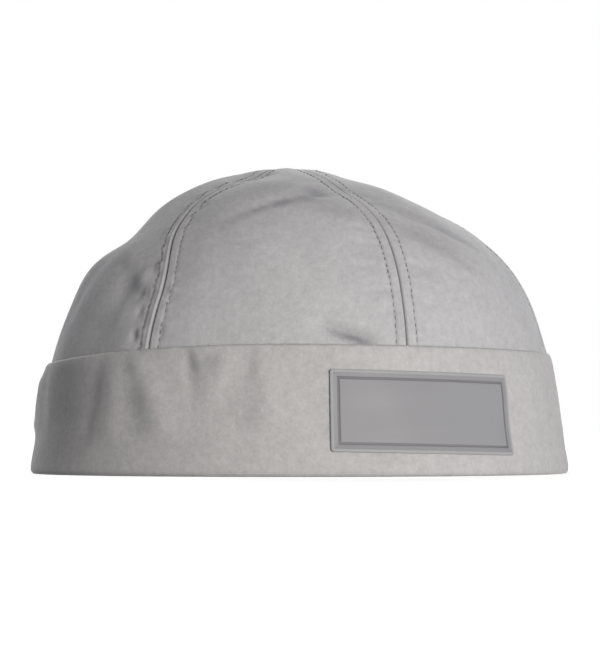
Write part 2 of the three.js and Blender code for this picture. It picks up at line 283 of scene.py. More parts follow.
class Corner(NamedTuple):
    """A point of a section: its height, and how far it stands out from the crown's plain oval."""

    height: float
    outset: float


class Fold(NamedTuple):
    """A fold of the lining from one place to another, with its width and how far it stands in."""

    from_angle: float
    from_height: float
    to_angle: float
    to_height: float
    width: float
    depth: float


class Ring(NamedTuple):
    """A ring of the label: how far it lies in from the label's edge, its height above the back, and how
    much painted shade it gets for lying deep."""

    inset: float
    rise: float
    shade: float


SEAMS = (
    Seam(angle=-150, foot_turn=0, top_turn=-1.5, turn_from=15, crest_turn=0, pucker=0.9),
    Seam(angle=-90, foot_turn=0.5, top_turn=-2.5, turn_from=10, crest_turn=0, pucker=1.0),
    Seam(angle=-30, foot_turn=0.4, top_turn=-11.5, turn_from=26, crest_turn=10, pucker=1.8),
    Seam(angle=30, foot_turn=-1.3, top_turn=3.6, turn_from=5, crest_turn=0, pucker=0.75),
    Seam(angle=90, foot_turn=0, top_turn=0.8, turn_from=0, crest_turn=0, pucker=0.9),
    Seam(angle=150, foot_turn=0.6, top_turn=-0.6, turn_from=0, crest_turn=0, pucker=1.0),
)

# Climbs in degrees: where a seam's turn is complete, between which it turns back over the crest, and
# between which a panel's swell grows
SEAM_TURN_TOP = 61
CREST_CLIMBS = (57, 84)
SWELL_CLIMBS = (14, 50)

PANELS = ("back_left", "front_left", "front", "front_right", "back_right", "back")

DENTS = (
    Dent(angle=-76, climb=47, width=24, height=9, depth=1.9),
    Dent(angle=-68, climb=35, width=24, height=12, depth=-1.6),
    Dent(angle=-68, climb=62, width=22, height=9, depth=-0.9),
    Dent(angle=92, climb=34, width=40, height=17, depth=-2.2),
    Dent(angle=58, climb=56, width=24, height=12, depth=1.0),
    Dent(angle=36, climb=66, width=22, height=9, depth=1.2),
    Dent(angle=-34, climb=76, width=10, height=7, depth=1.5),
    Dent(angle=60, climb=75, width=12, height=7, depth=1.0),
    Dent(angle=-44, climb=30, width=8, height=22, depth=0.6),
    Dent(angle=150, climb=50, width=18, height=18, depth=1.6),
    Dent(angle=15, climb=62, width=6, height=3.6, depth=0.9),
    Dent(angle=16, climb=22, width=7, height=4, depth=0.4),
    Dent(angle=24.3, climb=16.4, width=2.4, height=3.2, depth=-0.5),
    Dent(angle=-43.4, climb=29, width=3.8, height=4.4, depth=0.8),
    Dent(angle=-38.2, climb=32.6, width=2.6, height=3.2, depth=-0.5),
    Dent(angle=-36.4, climb=27.5, width=1.6, height=1.8, depth=0.6),
    Dent(angle=-34.9, climb=22.5, width=1.5, height=2, depth=0.6),
    Dent(angle=-34.4, climb=16.6, width=1.6, height=2, depth=0.7),
    Dent(angle=-40.5, climb=22, width=4, height=3.6, depth=-0.5),
    Dent(angle=-47.5, climb=17, width=6, height=6, depth=0.3),
)

CREASES = (
    Crease(from_angle=-18, from_climb=50, to_angle=-4, to_climb=56.3, width=3, depth=0.4),
    Crease(from_angle=-7, from_climb=55, to_angle=7, to_climb=59.8, width=3, depth=0.5),
    Crease(from_angle=4, from_climb=59, to_angle=20, to_climb=63.8, width=3.4, depth=0.7),
    Crease(from_angle=-19, from_climb=12, to_angle=-22.5, to_climb=47, width=6.5, depth=-0.4),
    Crease(from_angle=-10.5, from_climb=41.5, to_angle=-1, to_climb=43.6, width=2, depth=0.25),
    Crease(from_angle=9.5, from_climb=19, to_angle=23, to_climb=15, width=2.0, depth=2.1),
    Crease(from_angle=46, from_climb=55.5, to_angle=66, to_climb=42, width=2.3, depth=1.1),
    Crease(from_angle=40, from_climb=48, to_angle=58, to_climb=35, width=3.4, depth=0.7),
    Crease(from_angle=37, from_climb=31, to_angle=52, to_climb=19, width=5, depth=-0.5),
    Crease(from_angle=29, from_climb=46.5, to_angle=20, to_climb=48, width=1.4, depth=0.4),
    Crease(from_angle=28.6, from_climb=41.5, to_angle=21, to_climb=42.2, width=1.4, depth=0.34),
    Crease(from_angle=28.4, from_climb=34.2, to_angle=19, to_climb=34.6, width=1.5, depth=0.32),
    Crease(from_angle=28, from_climb=28, to_angle=20, to_climb=27.2, width=1.6, depth=0.28),
    Crease(from_angle=27.6, from_climb=23, to_angle=21, to_climb=20.5, width=1.8, depth=0.28),
    Crease(from_angle=34.6, from_climb=36.2, to_angle=43, to_climb=33.6, width=1.5, depth=0.34),
    Crease(from_angle=34.4, from_climb=30.6, to_angle=41, to_climb=28.6, width=1.5, depth=0.3),
    Crease(from_angle=34.4, from_climb=25.6, to_angle=39.5, to_climb=23.8, width=1.7, depth=0.25),
    Crease(from_angle=-60, from_climb=40, to_angle=-70, to_climb=20, width=5, depth=0.6),
    Crease(from_angle=-97, from_climb=46, to_angle=-106, to_climb=20, width=4.5, depth=0.9),
    Crease(from_angle=-118, from_climb=16, to_angle=-136, to_climb=38, width=5, depth=1.0),
    Crease(from_angle=-126, from_climb=50, to_angle=-146, to_climb=60, width=4, depth=0.7),
    Crease(from_angle=-158, from_climb=20, to_angle=-163, to_climb=44, width=5, depth=-0.7),
    Crease(from_angle=-172, from_climb=56, to_angle=164, to_climb=61, width=4, depth=0.9),
    Crease(from_angle=176, from_climb=17, to_angle=168, to_climb=38, width=5, depth=0.9),
    Crease(from_angle=140, from_climb=16, to_angle=126, to_climb=36, width=5, depth=1.0),
    Crease(from_angle=122, from_climb=46, to_angle=104, to_climb=56, width=4, depth=0.7),
    Crease(from_angle=96, from_climb=18, to_angle=104, to_climb=40, width=4.5, depth=0.8),
    Crease(from_angle=80, from_climb=40, to_angle=70, to_climb=20, width=5, depth=0.7),
)

# Painted shade on the crown: its creases, dents and seam sides, and broad patches on its top and upper right
# where less light falls
CROWN_PAINTED_SHADE = (
    PaintedShade(from_angle=-19, from_height=47.8, to_angle=-9.5, to_height=52.5, width=2.2, strength=0.2),
    PaintedShade(from_angle=-12, from_height=51.5, to_angle=-3.5, to_height=54.9, width=2.0, strength=0.4),
    PaintedShade(from_angle=-5, from_height=54.3, to_angle=7, to_height=58.3, width=2.4, strength=0.6),
    PaintedShade(from_angle=4, from_height=57.3, to_angle=18, to_height=62.3, width=3.6, strength=0.7),
    PaintedShade(from_angle=11, from_height=61.5, to_angle=20, to_height=64.5, width=6, strength=0.6),
    PaintedShade(from_angle=10.5, from_height=18.4, to_angle=16.5, to_height=16.8, width=1.1, strength=0.4),
    PaintedShade(from_angle=13.8, from_height=16.8, to_angle=20.5, to_height=14.8, width=2.1, strength=0.7),
    PaintedShade(from_angle=16.5, from_height=14.8, to_angle=21.5, to_height=13.6, width=1.7, strength=0.5),
    PaintedShade(from_angle=-42.5, from_height=32.3, to_angle=-36, to_height=27, width=2.1, strength=0.6),
    PaintedShade(from_angle=-52, from_height=38, to_angle=-44, to_height=34, width=2.4, strength=0.3),
    PaintedShade(from_angle=-43.5, from_height=47.5, to_angle=-41.2, to_height=44, width=0.9, strength=0.4),
    PaintedShade(from_angle=-36, from_height=36.5, to_angle=-34.4, to_height=33, width=1.0, strength=0.6),
    PaintedShade(from_angle=-34.6, from_height=29, to_angle=-33, to_height=25.5, width=0.9, strength=0.35),
    PaintedShade(from_angle=-33.6, from_height=22, to_angle=-33, to_height=20.4, width=0.8, strength=0.25),
    PaintedShade(from_angle=-34.6, from_height=17.6, to_angle=-32.8, to_height=15.8, width=1.0, strength=0.6),
    PaintedShade(from_angle=-26.6, from_height=19, to_angle=-26.2, to_height=15.6, width=0.9, strength=0.35),
    PaintedShade(from_angle=-27.8, from_height=29.5, to_angle=-27, to_height=26, width=0.9, strength=0.35),
    PaintedShade(from_angle=-12, from_height=62, to_angle=16, to_height=70, width=7, strength=0.28),
    PaintedShade(from_angle=8, from_height=57, to_angle=26, to_height=61, width=5, strength=0.26),
    PaintedShade(from_angle=38, from_height=61, to_angle=58, to_height=51, width=4.5, strength=0.32),
    PaintedShade(from_angle=33, from_height=69, to_angle=50, to_height=60, width=3.8, strength=0.34),
    PaintedShade(from_angle=52, from_height=53.5, to_angle=67, to_height=41, width=1.5, strength=0.45),
    PaintedShade(from_angle=12, from_height=54, to_angle=30, to_height=52.5, width=4.5, strength=0.22),
    PaintedShade(from_angle=37, from_height=49, to_angle=57, to_height=38, width=6, strength=0.26),
    PaintedShade(from_angle=47, from_height=45.5, to_angle=56, to_height=33, width=1.6, strength=0.25),
)

# Painted shade on the cuff's outer face: a broad darker patch on its left side, away from the light, and
# darker lines along its ripples
CUFF_PAINTED_SHADE = (
    PaintedShade(from_angle=-59, from_height=40, to_angle=-54, to_height=8, width=13, strength=0.36),
    PaintedShade(from_angle=-41.2, from_height=38, to_angle=-43.6, to_height=12, width=3.2, strength=0.42),
    PaintedShade(from_angle=-34.2, from_height=39.5, to_angle=-31, to_height=32.5, width=2.0, strength=0.3),
    PaintedShade(from_angle=-30.6, from_height=32, to_angle=-27.6, to_height=20, width=3.6, strength=0.3),
    PaintedShade(from_angle=-18.6, from_height=41, to_angle=-16.4, to_height=33, width=2.0, strength=0.45),
    PaintedShade(from_angle=-16.8, from_height=36, to_angle=-11.5, to_height=38, width=2.2, strength=0.2),
    PaintedShade(from_angle=-4.3, from_height=41, to_angle=-4.4, to_height=32, width=1.8, strength=0.25),
    PaintedShade(from_angle=-4.6, from_height=28, to_angle=-4.8, to_height=15, width=4.5, strength=0.14),
)

RIPPLES = (
    Ripple(from_angle=-57, from_height=36, to_angle=-59, to_height=8, width=12, depth=0.9),
    Ripple(from_angle=-37.4, from_height=39, to_angle=-37.8, to_height=8, width=6.0, depth=-1.0),
    Ripple(from_angle=-32, from_height=41, to_angle=-24, to_height=12, width=7, depth=-1.1),
    Ripple(from_angle=-19.2, from_height=42, to_angle=-17.6, to_height=27, width=2.6, depth=0.5),
    Ripple(from_angle=-10, from_height=42, to_angle=-13.6, to_height=23, width=3.6, depth=-0.55),
    Ripple(from_angle=-2.4, from_height=42, to_angle=-2, to_height=18, width=4.4, depth=-0.5),
    Ripple(from_angle=8, from_height=40, to_angle=6, to_height=14, width=6, depth=0.3),
    Ripple(from_angle=63, from_height=40, to_angle=60, to_height=16, width=4, depth=0.3),
    Ripple(from_angle=78, from_height=36, to_angle=80, to_height=8, width=12, depth=0.7),
    Ripple(from_angle=101, from_height=41, to_angle=108, to_height=14, width=4.5, depth=0.7),
    Ripple(from_angle=119, from_height=36, to_angle=117, to_height=8, width=14, depth=-0.8),
    Ripple(from_angle=140, from_height=41, to_angle=133, to_height=15, width=4.5, depth=0.7),
    Ripple(from_angle=151, from_height=40, to_angle=155, to_height=20, width=4, depth=-0.5),
    Ripple(from_angle=167, from_height=36, to_angle=165, to_height=8, width=15, depth=-0.7),
    Ripple(from_angle=-171, from_height=40, to_angle=-166, to_height=16, width=4.5, depth=0.6),
    Ripple(from_angle=-148, from_height=40, to_angle=-152, to_height=14, width=5, depth=0.6),
    Ripple(from_angle=-124, from_height=36, to_angle=-127, to_height=8, width=14, depth=0.9),
    Ripple(from_angle=-108, from_height=41, to_angle=-103, to_height=14, width=5, depth=-0.8),
    Ripple(from_angle=-86, from_height=37, to_angle=-86, to_height=16, width=16, depth=-1.7),
    Ripple(from_angle=-71, from_height=40, to_angle=-69, to_height=16, width=5, depth=0.35),
)

# Down the cuff's outer face, round its fold, up the inner leg and down it again, and up the inner face
CUFF_SECTION = (
    Corner(height=42.5, outset=1.06),
    Corner(height=41.6, outset=1.47),
    Corner(height=39.8, outset=1.65),
    Corner(height=36.4, outset=1.75),
    Corner(height=30.6, outset=1.9),
    Corner(height=22.0, outset=2.6),
    Corner(height=10.4, outset=4.1),
    Corner(height=4.2, outset=5.2),
    Corner(height=1.5, outset=5.4),
    Corner(height=0.4, outset=5.05),
    Corner(height=0.0, outset=4.2),
    Corner(height=0.0, outset=2.2),
    Corner(height=0.7, outset=1.2),
    Corner(height=2.3, outset=0.75),
    Corner(height=9.0, outset=0.4),
    Corner(height=9.0, outset=1.7),
    Corner(height=2.7, outset=2.0),
    Corner(height=1.7, outset=2.9),
    Corner(height=2.7, outset=3.9),
    Corner(height=10.4, outset=2.8),
    Corner(height=22.0, outset=1.3),
    Corner(height=30.6, outset=0.6),
    Corner(height=36.4, outset=0.42),
    Corner(height=42.1, outset=0.4),
)

STRIP_SECTION = (
    Corner(height=8.0, outset=0.1),
    Corner(height=3.2, outset=0.35),
    Corner(height=3.2, outset=-0.55),
    Corner(height=4.4, outset=-1.1),
    Corner(height=6.6, outset=-1.25),
    Corner(height=8.0, outset=-0.95),
)

FOLDS = (
    Fold(from_angle=-122, from_height=34, to_angle=-138, to_height=12, width=6, depth=4.2),
    Fold(from_angle=-141, from_height=42, to_angle=-140, to_height=11, width=5, depth=5),
    Fold(from_angle=-149, from_height=21, to_angle=-144, to_height=15, width=5.5, depth=4),
    Fold(from_angle=-157, from_height=44, to_angle=-151, to_height=19, width=5.5, depth=3.6),
    Fold(from_angle=-168, from_height=34, to_angle=172, to_height=12, width=7, depth=3.4),
    Fold(from_angle=-176, from_height=32, to_angle=166, to_height=11, width=6, depth=3),
    Fold(from_angle=158, from_height=26, to_angle=150, to_height=13, width=6, depth=3),
    Fold(from_angle=143, from_height=26, to_angle=141, to_height=12, width=5.5, depth=2.6),
    Fold(from_angle=122, from_height=48, to_angle=119, to_height=10, width=5, depth=3.6),
    Fold(from_angle=100, from_height=30, to_angle=90, to_height=13, width=6, depth=3.4),
    Fold(from_angle=68, from_height=44, to_angle=74, to_height=14, width=7, depth=3.4),
    Fold(from_angle=40, from_height=58, to_angle=26, to_height=20, width=8, depth=3.4),
    Fold(from_angle=5, from_height=50, to_angle=-6, to_height=14, width=7, depth=3.2),
    Fold(from_angle=-28, from_height=62, to_angle=-38, to_height=22, width=8, depth=3.4),
    Fold(from_angle=-62, from_height=46, to_angle=-56, to_height=14, width=7, depth=3.2),
    Fold(from_angle=-96, from_height=40, to_angle=-88, to_height=14, width=6, depth=3.4),
)

# From the edge of the label's back over its frame and the groove to the bare field
# Each ring's shade is painted shade, darkest in the groove
LABEL_RINGS = (
    Ring(inset=0.15, rise=0, shade=0.2),
    Ring(inset=0, rise=0.1, shade=0.2),
    Ring(inset=0, rise=0.5, shade=0),
    Ring(inset=0.06, rise=0.6, shade=0),
    Ring(inset=0.2, rise=0.68, shade=0),
    Ring(inset=0.35, rise=0.7, shade=0),
    Ring(inset=0.8, rise=0.7, shade=0),
    Ring(inset=0.95, rise=0.69, shade=0.1),
    Ring(inset=1.1, rise=0.6, shade=0.4),
    Ring(inset=1.25, rise=0.56, shade=0.44),
    Ring(inset=2.2, rise=0.54, shade=0.44),
    Ring(inset=2.32, rise=0.5, shade=0.5),
    Ring(inset=2.42, rise=0.2, shade=0.85),
    Ring(inset=2.52, rise=0.12, shade=0.95),
    Ring(inset=2.95, rise=0.12, shade=0.95),
    Ring(inset=3.08, rise=0.18, shade=0.8),
    Ring(inset=3.18, rise=0.38, shade=0.35),
    Ring(inset=3.3, rise=0.45, shade=0.25),
    Ring(inset=3.5, rise=0.46, shade=0.3),
)

# The crown's soft peak, which leans a little to the left
PEAK_RISE = 2.5 * MM
PEAK_SPREAD = 30 * MM
PEAK_LEAN = -4 * MM
PEAK_LEAN_FROM = radians(45)

# Near the tip, distances round the crown are taken at no less than this share of its widest radius
LEAST_SPREAD = 0.008

# How fast a panel's swell grows from the tip, and the shares of a crease and of a ripple, on each side of
# its middle, that keep their full depth
SWELL_RISE = 2.5
CREASE_CORE = 0.25
RIPPLE_CORE = 0.35

# Beside a seam: the radii between which its relief grows from the tip, the edges of the lifted allowance
# from the stitch row, the groove's share that stays at the tip, the ridge's width in widths of the
# groove, the width of a sunk stitch row and how far its puckers reach towards the seam
SEAM_FADE = (9 * MM, 22 * MM)
ALLOWANCE_EDGES = (-0.9 * MM, 0.3 * MM)
TIP_GROOVE = 0.35
RIDGE_WIDTH = 1.4
ROW_WIDTH = 0.55 * MM
INNER_PUCKER_REACH = 1.6 * MM

# Lengths of the waves that make up the puckers along a stitch row
FINE_PUCKER = 3.1 * MM
BROAD_PUCKER = 7.3 * MM
PUCKER_DRIFT = 11 * MM
PUCKER_GROUP = 6.1 * MM

# Wavelength, share and seed of each layer of soft unevenness
CROWN_SOFTNESS = ((46 * MM, 0.6, 3), (21 * MM, 0.22, 8))
CUFF_SOFTNESS = ((34 * MM, 0.6, 21), (15 * MM, 0.25, 22))

# How much painted shade the cloth gets in a seam's groove and in a stitch row, and the shade's width in
# each, for the groove in widths of the groove
GROOVE_SHADE = 0.5
GROOVE_SHADE_WIDTH = 0.9
ROW_SHADE = 0.22
ROW_SHADE_WIDTH = 0.5 * MM

# What a colour is multiplied by where its painted shade is darkest
PAINTED_SHADE_TINT = (0.3, 0.3, 0.33, 1)

# How strongly the twill's relief shows
WEAVE_STRENGTH = 0.5

# The width of the cuff's join, and the heights above the fold between which it deepens
JOIN_WIDTH = 0.7 * MM
JOIN_FADE = (1 * MM, 5 * MM)

# The share of a panel's columns that crowd towards its seams
CROWDING = 0.58

# The stitch rows run up from inside the cuff and end short of the tip
STITCHES_FROM = 34 * MM
STITCHES_TO = radians(81)
STITCH_PATH_POINTS = 140

# How far in from the crown's face the room for the lining begins, the radius at which its gathers' pitch
# is measured, and how high the gathers reach
LINING_DEPTH = 1.3 * MM
GATHER_RADIUS = 95 * MM
GATHER_FADE = 9 * MM

# The strip's steps round its section, and the puckers of its inner face
STRIP_STEPS = 28
STRIP_INNER_FACE = -0.4 * MM
STRIP_PUCKER = 0.12 * MM
STRIP_PUCKERS = 150

# The label lies on the cuff's outer face, which is the first corners of the cuff's section. Distances
# along the label are taken at this outset, and the corners of its inner rings stay a little round.
OUTER_FACE_CORNERS = 9
LABEL_OUTSET = 2.8 * MM
LEAST_CORNER = 0.15 * MM


def settings():
    """The hat's settings in the scene."""
    return bpy.context.scene.rain_hat


def bell(distance, width):
    """1 at no distance, falling off smoothly over a width."""
    return np.exp(-((distance / width) ** 2))


def ramp(value, low, high):
    """0 below low and 1 above high, smooth between them."""
    share = np.clip((value - low) / (high - low), 0, 1)
    return share * share * (3 - 2 * share)


def turn_between(a, b):
    """The signed turn from angle b to angle a."""
    return (a - b + pi) % (2 * pi) - pi


def unevenness(points, wavelength, seed, count=14):
    """Smooth random relief between about -1 and 1 in space, from waves of many directions."""
    rng = np.random.default_rng(seed)
    total = np.zeros(points.shape[:-1])
    for _ in range(count):
        direction = rng.normal(size=3)
        direction /= np.linalg.norm(direction)
        stretch = rng.uniform(0.7, 1.5)
        phase = rng.uniform(0, 2 * pi)
        total += np.sin(points @ direction * (2 * pi * stretch / wavelength) + phase)
    return total / np.sqrt(count)


def crown_face(angle, climb):
    """Points of the crown's plain face."""
    crown = settings().crown
    foot_climb = asin((crown.foot_height - crown.widest_height) / crown.dome_height)
    spread = np.where(climb > 0, np.cos(climb), 1.0)
    flare = np.where(climb < 0, crown.foot_flare * (np.sin(climb) / sin(foot_climb)) ** 2, 0.0)
    x = (crown.half_width * spread + flare) * np.sin(angle)
    y = -(crown.half_length * np.maximum(spread, 0) ** crown.fullness + flare) * np.cos(angle)
    z = crown.widest_height + crown.dome_height * np.sin(climb)
    z = z + PEAK_RISE * bell(crown.half_width * spread, PEAK_SPREAD)
    x = x + PEAK_LEAN * ramp(climb, PEAK_LEAN_FROM, pi / 2)
    return np.stack(np.broadcast_arrays(x, y, z), axis=-1)


def crown_normal(angle, climb):
    """Outward directions of the crown's plain face."""
    step = 0.002
    climb = np.minimum(climb, pi / 2 - 3 * step)
    around = crown_face(angle + step, climb) - crown_face(angle - step, climb)
    upward = crown_face(angle, climb + step) - crown_face(angle, climb - step)
    normal = np.cross(around, upward)
    return normal / np.linalg.norm(normal, axis=-1, keepdims=True)


def seam_angle(seam, climb):
    """Where a seam runs round the hat at a climb."""
    share = ramp(climb, radians(seam.turn_from), radians(SEAM_TURN_TOP))
    over = ramp(climb, radians(CREST_CLIMBS[0]), radians(CREST_CLIMBS[1]))
    turn = seam.foot_turn + (seam.top_turn - seam.foot_turn) * share + seam.crest_turn * over
    return np.radians(seam.angle + turn)


def mean_radius():
    """The crown's mean radius where it is widest."""
    crown = settings().crown
    return (crown.half_width + crown.half_length) / 2


def girth_radius(climb):
    """The crown's mean radius at a climb, for distances round it."""
    return mean_radius() * np.maximum(np.cos(climb), LEAST_SPREAD)


def soft_relief(points, layers):
    """Soft unevenness of a cloth, as the sum of its layers."""
    return sum(unevenness(points, wavelength, seed) * share for wavelength, share, seed in layers)


def beside_line(aside, above, run, rise, clipped=False):
    """How far along a line each point lies, as a share of the line, and how far off it."""
    share = (aside * run + above * rise) / (run**2 + rise**2)
    if clipped:
        share = np.clip(share, 0, 1)
    return share, np.hypot(aside - share * run, above - share * rise)


def faded_ends(share, core):
    """1 along the core of a line, on each side of its middle, and fading past it."""
    return bell(np.maximum(0, np.abs(share - 0.5) - core), 0.25)


def seam_relief(angle, climb):
    """Relief beside the seams: the groove, the lifted allowances, the sunk stitch rows and their
    puckers."""
    crown, stitches = settings().crown, settings().stitches
    reach = girth_radius(climb)
    along = climb * crown.dome_height
    open_share = ramp(reach, *SEAM_FADE)
    relief = np.zeros(np.broadcast(angle, climb).shape)
    for number, seam in enumerate(SEAMS):
        aside = turn_between(angle, seam_angle(seam, climb)) * reach
        off = np.abs(aside)
        row_offset = np.where(aside > 0, stitches.right_offset, stitches.left_offset)
        low_edge, high_edge = (row_offset + edge for edge in ALLOWANCE_EDGES)
        relief += crown.allowance * (1 - ramp(off, low_edge, high_edge)) * open_share
        groove = TIP_GROOVE + (1 - TIP_GROOVE) * open_share
        relief -= crown.groove * bell(off, crown.groove_width) * groove
        ridge_width = RIDGE_WIDTH * crown.groove_width
        relief += crown.ridge * bell(aside + crown.ridge_offset, ridge_width) * open_share
        row = off - row_offset
        pull = 0.6 + 0.4 * np.cos(2 * pi * along / stitches.pitch)
        relief -= stitches.sink * bell(row, ROW_WIDTH) * pull * open_share
        # The waves start elsewhere on each side of each seam
        side = number * 2 + (aside > 0)
        drift = 0.9 * np.sin(along / PUCKER_DRIFT + 1.7 * side)
        fine = np.sin(2 * pi * along / FINE_PUCKER + 2.1 * side + drift)
        broad = np.sin(2 * pi * along / BROAD_PUCKER + 1.3 * side + 2 * drift)
        uneven = 0.55 + 0.45 * np.sin(along / PUCKER_GROUP + 2.9 * side)
        width = np.where(row > 0, stitches.pucker_reach, INNER_PUCKER_REACH)
        fade = bell(row, width) * open_share * seam.pucker
        waves = 0.55 * fine * bell(row, 0.6 * width) + 0.6 * broad
        relief += stitches.pucker * fade * uneven * waves
    return relief


def crown_relief(angle, climb):
    """How far the crown's face stands out from its plain form."""
    crown = settings().crown
    reach = girth_radius(climb)
    turns = [np.abs(turn_between(angle, seam_angle(seam, climb))) for seam in SEAMS]
    across = np.minimum(1, np.min(turns, axis=0) / (pi / len(SEAMS)))
    low_climb, high_climb = np.radians(SWELL_CLIMBS)
    rising = ramp(climb, low_climb, high_climb) * np.minimum(1, np.cos(climb) * SWELL_RISE)
    relief = crown.swell * np.sin(pi / 2 * across) ** 2 * rising
    for dent in DENTS:
        aside = turn_between(angle, radians(dent.angle)) * reach
        above = (climb - radians(dent.climb)) * crown.dome_height
        relief = relief - dent.depth * MM * bell(aside, dent.width * MM) * bell(above, dent.height * MM)
    for crease in CREASES:
        aside = turn_between(angle, radians(crease.from_angle)) * reach
        above = (climb - radians(crease.from_climb)) * crown.dome_height
        middle = girth_radius(radians((crease.from_climb + crease.to_climb) / 2))
        run = turn_between(radians(crease.to_angle), radians(crease.from_angle)) * middle
        rise = radians(crease.to_climb - crease.from_climb) * crown.dome_height
        share, off = beside_line(aside, above, run, rise)
        ends = faded_ends(share, CREASE_CORE)
        relief = relief - crease.depth * MM * bell(off, crease.width * MM) * ends
    relief = relief + crown.softness * soft_relief(crown_face(angle, climb), CROWN_SOFTNESS)
    return relief + seam_relief(angle, climb)


def painted_shade(marks, radius_at, angle, height, tall):
    """How much painted shade the marks put on a cloth at each point. Tall is the length of one step of a
    mark's height, and radius_at gives the cloth's radius at a length up it."""
    shade = np.zeros(np.broadcast(angle, height).shape)
    for mark in marks:
        radius = radius_at(tall * (mark.from_height + mark.to_height) / 2)
        aside = turn_between(angle, radians(mark.from_angle)) * radius
        above = height - tall * mark.from_height
        run = radians(mark.to_angle - mark.from_angle) * radius
        rise = tall * (mark.to_height - mark.from_height)
        share, off = beside_line(aside, above, run, rise, clipped=True)
        ends = 1 - 0.5 * (2 * share - 1) ** 2
        shade = np.maximum(shade, mark.strength * bell(off, mark.width * MM) * ends)
    return shade


def crown_painted_shade(angle, climb):
    """The painted shade of the crown's cloth in its folds and dim patches, along its seams and in its stitch
    rows.
    """
    crown, stitches = settings().crown, settings().stitches

    def radius_at(walked):
        return girth_radius(walked / crown.dome_height)

    degree = radians(1) * crown.dome_height
    shade = painted_shade(CROWN_PAINTED_SHADE, radius_at, angle, climb * crown.dome_height, degree)
    reach = girth_radius(climb)
    open_share = ramp(reach, *SEAM_FADE)
    for seam in SEAMS:
        aside = turn_between(angle, seam_angle(seam, climb)) * reach
        row = np.abs(aside) - np.where(aside > 0, stitches.right_offset, stitches.left_offset)
        lines = GROOVE_SHADE * bell(aside, GROOVE_SHADE_WIDTH * crown.groove_width)
        lines = lines + ROW_SHADE * bell(row, ROW_SHADE_WIDTH) * open_share
        shade = np.maximum(shade, lines)
    return shade


def crown_point(angle, climb, inset=0.0):
    """Points of the crown, a given depth in from its face."""
    out = crown_relief(angle, climb) - inset
    return crown_face(angle, climb) + crown_normal(angle, climb) * np.asarray(out)[..., None]


def oval_point(angle, outset, height):
    """Points out from the crown's plain oval."""
    crown = settings().crown
    share = np.maximum(0, height - crown.widest_height) / crown.dome_height
    spread = np.sqrt(1 - share**2)
    x = (crown.half_width * spread + outset) * np.sin(angle)
    y = -(crown.half_length * spread**crown.fullness + outset) * np.cos(angle)
    return np.stack(np.broadcast_arrays(x, y, height), axis=-1)


def cuff_lift(angle):
    """How much taller the cuff is than its plain height."""
    cuff = settings().cuff
    sideways = np.where(np.sin(angle) > 0, cuff.lift_right, cuff.lift_left)
    lengthways = np.where(np.cos(angle) > 0, 0, cuff.lift_back)
    return sideways * np.sin(angle) ** 2 + lengthways * np.cos(angle) ** 2


def cuff_point(angle, outset, height):
    """Points of the cuff, with its lift, its waves and the soft unevenness of its cloth."""
    cuff = settings().cuff
    radius = mean_radius()
    share = np.clip((height - cuff.leg_height) / (cuff.height - cuff.leg_height), 0, 1)
    lift = cuff_lift(angle)
    free = np.minimum(1, 4 * share) * (1 - 0.8 * ramp(height, cuff.wave_fade, cuff.height))
    depth = 0.0
    for ripple in RIPPLES:
        aside = turn_between(angle, radians(ripple.from_angle)) * radius
        above = height - ripple.from_height * MM
        run = radians(ripple.to_angle - ripple.from_angle) * radius
        rise = (ripple.to_height - ripple.from_height) * MM
        along, off = beside_line(aside, above, run, rise)
        ends = faded_ends(along, RIPPLE_CORE)
        depth = depth + ripple.depth * MM * bell(off, ripple.width * MM) * ends
    soft = soft_relief(oval_point(angle, outset, height), CUFF_SOFTNESS)
    # The cloth lies still at its edge, at the fold and where the crown's foot stands on it
    lip = np.clip((cuff.height - height) / (9 * MM), 0.25, 1) * np.clip(height / (5 * MM), 0, 1)
    outward = outset - depth * free + cuff.softness * soft * lip * np.minimum(1, 4 * share + 0.15)
    return oval_point(angle, outward, height + lift * share)


def closed_spline(corners, steps, samples=24):
    """A smooth closed curve through the corners of a section, in even steps, as outsets and heights."""
    knots = np.array([(corner.outset * MM, corner.height * MM) for corner in corners])
    count = len(knots)
    curve = []
    for i in range(count):
        before, start, end, after = (knots[(i + k) % count] for k in (-1, 0, 1, 2))
        sides = ((before, start), (start, end), (end, after))
        low, middle, high = (max(np.linalg.norm(b - a), 1e-6) ** 0.5 for a, b in sides)
        leave = (start - before) / low - (end - before) / (low + middle) + (end - start) / middle
        arrive = (end - start) / middle - (after - start) / (middle + high) + (after - end) / high
        leave, arrive = leave * middle, arrive * middle
        for t in np.arange(samples) / samples:
            curve.append(
                (2 * t**3 - 3 * t**2 + 1) * start
                + (t**3 - 2 * t**2 + t) * leave
                + (3 * t**2 - 2 * t**3) * end
                + (t**3 - t**2) * arrive
            )
    curve = np.array(curve + curve[:1])
    walked = np.concatenate([[0], np.cumsum(np.linalg.norm(np.diff(curve, axis=0), axis=1))])
    even = np.linspace(0, walked[-1], steps, endpoint=False)
    return np.interp(even, walked, curve[:, 0]), np.interp(even, walked, curve[:, 1])


def grid_faces(rows, columns, start=0, wrap_rows=False, wrap_columns=False, flip=False):
    """Faces with four corners over a grid of points, row by row."""
    row = np.arange(rows if wrap_rows else rows - 1)[:, None]
    column = np.arange(columns if wrap_columns else columns - 1)[None, :]
    next_row, next_column = (row + 1) % rows, (column + 1) % columns
    corners = [row * columns + column, row * columns + next_column]
    corners += [next_row * columns + next_column, next_row * columns + column]
    shape = (row.size, column.size)
    faces = np.stack([np.broadcast_to(corner, shape) for corner in corners], axis=-1).reshape(-1, 4)
    return (faces[:, ::-1] if flip else faces) + start


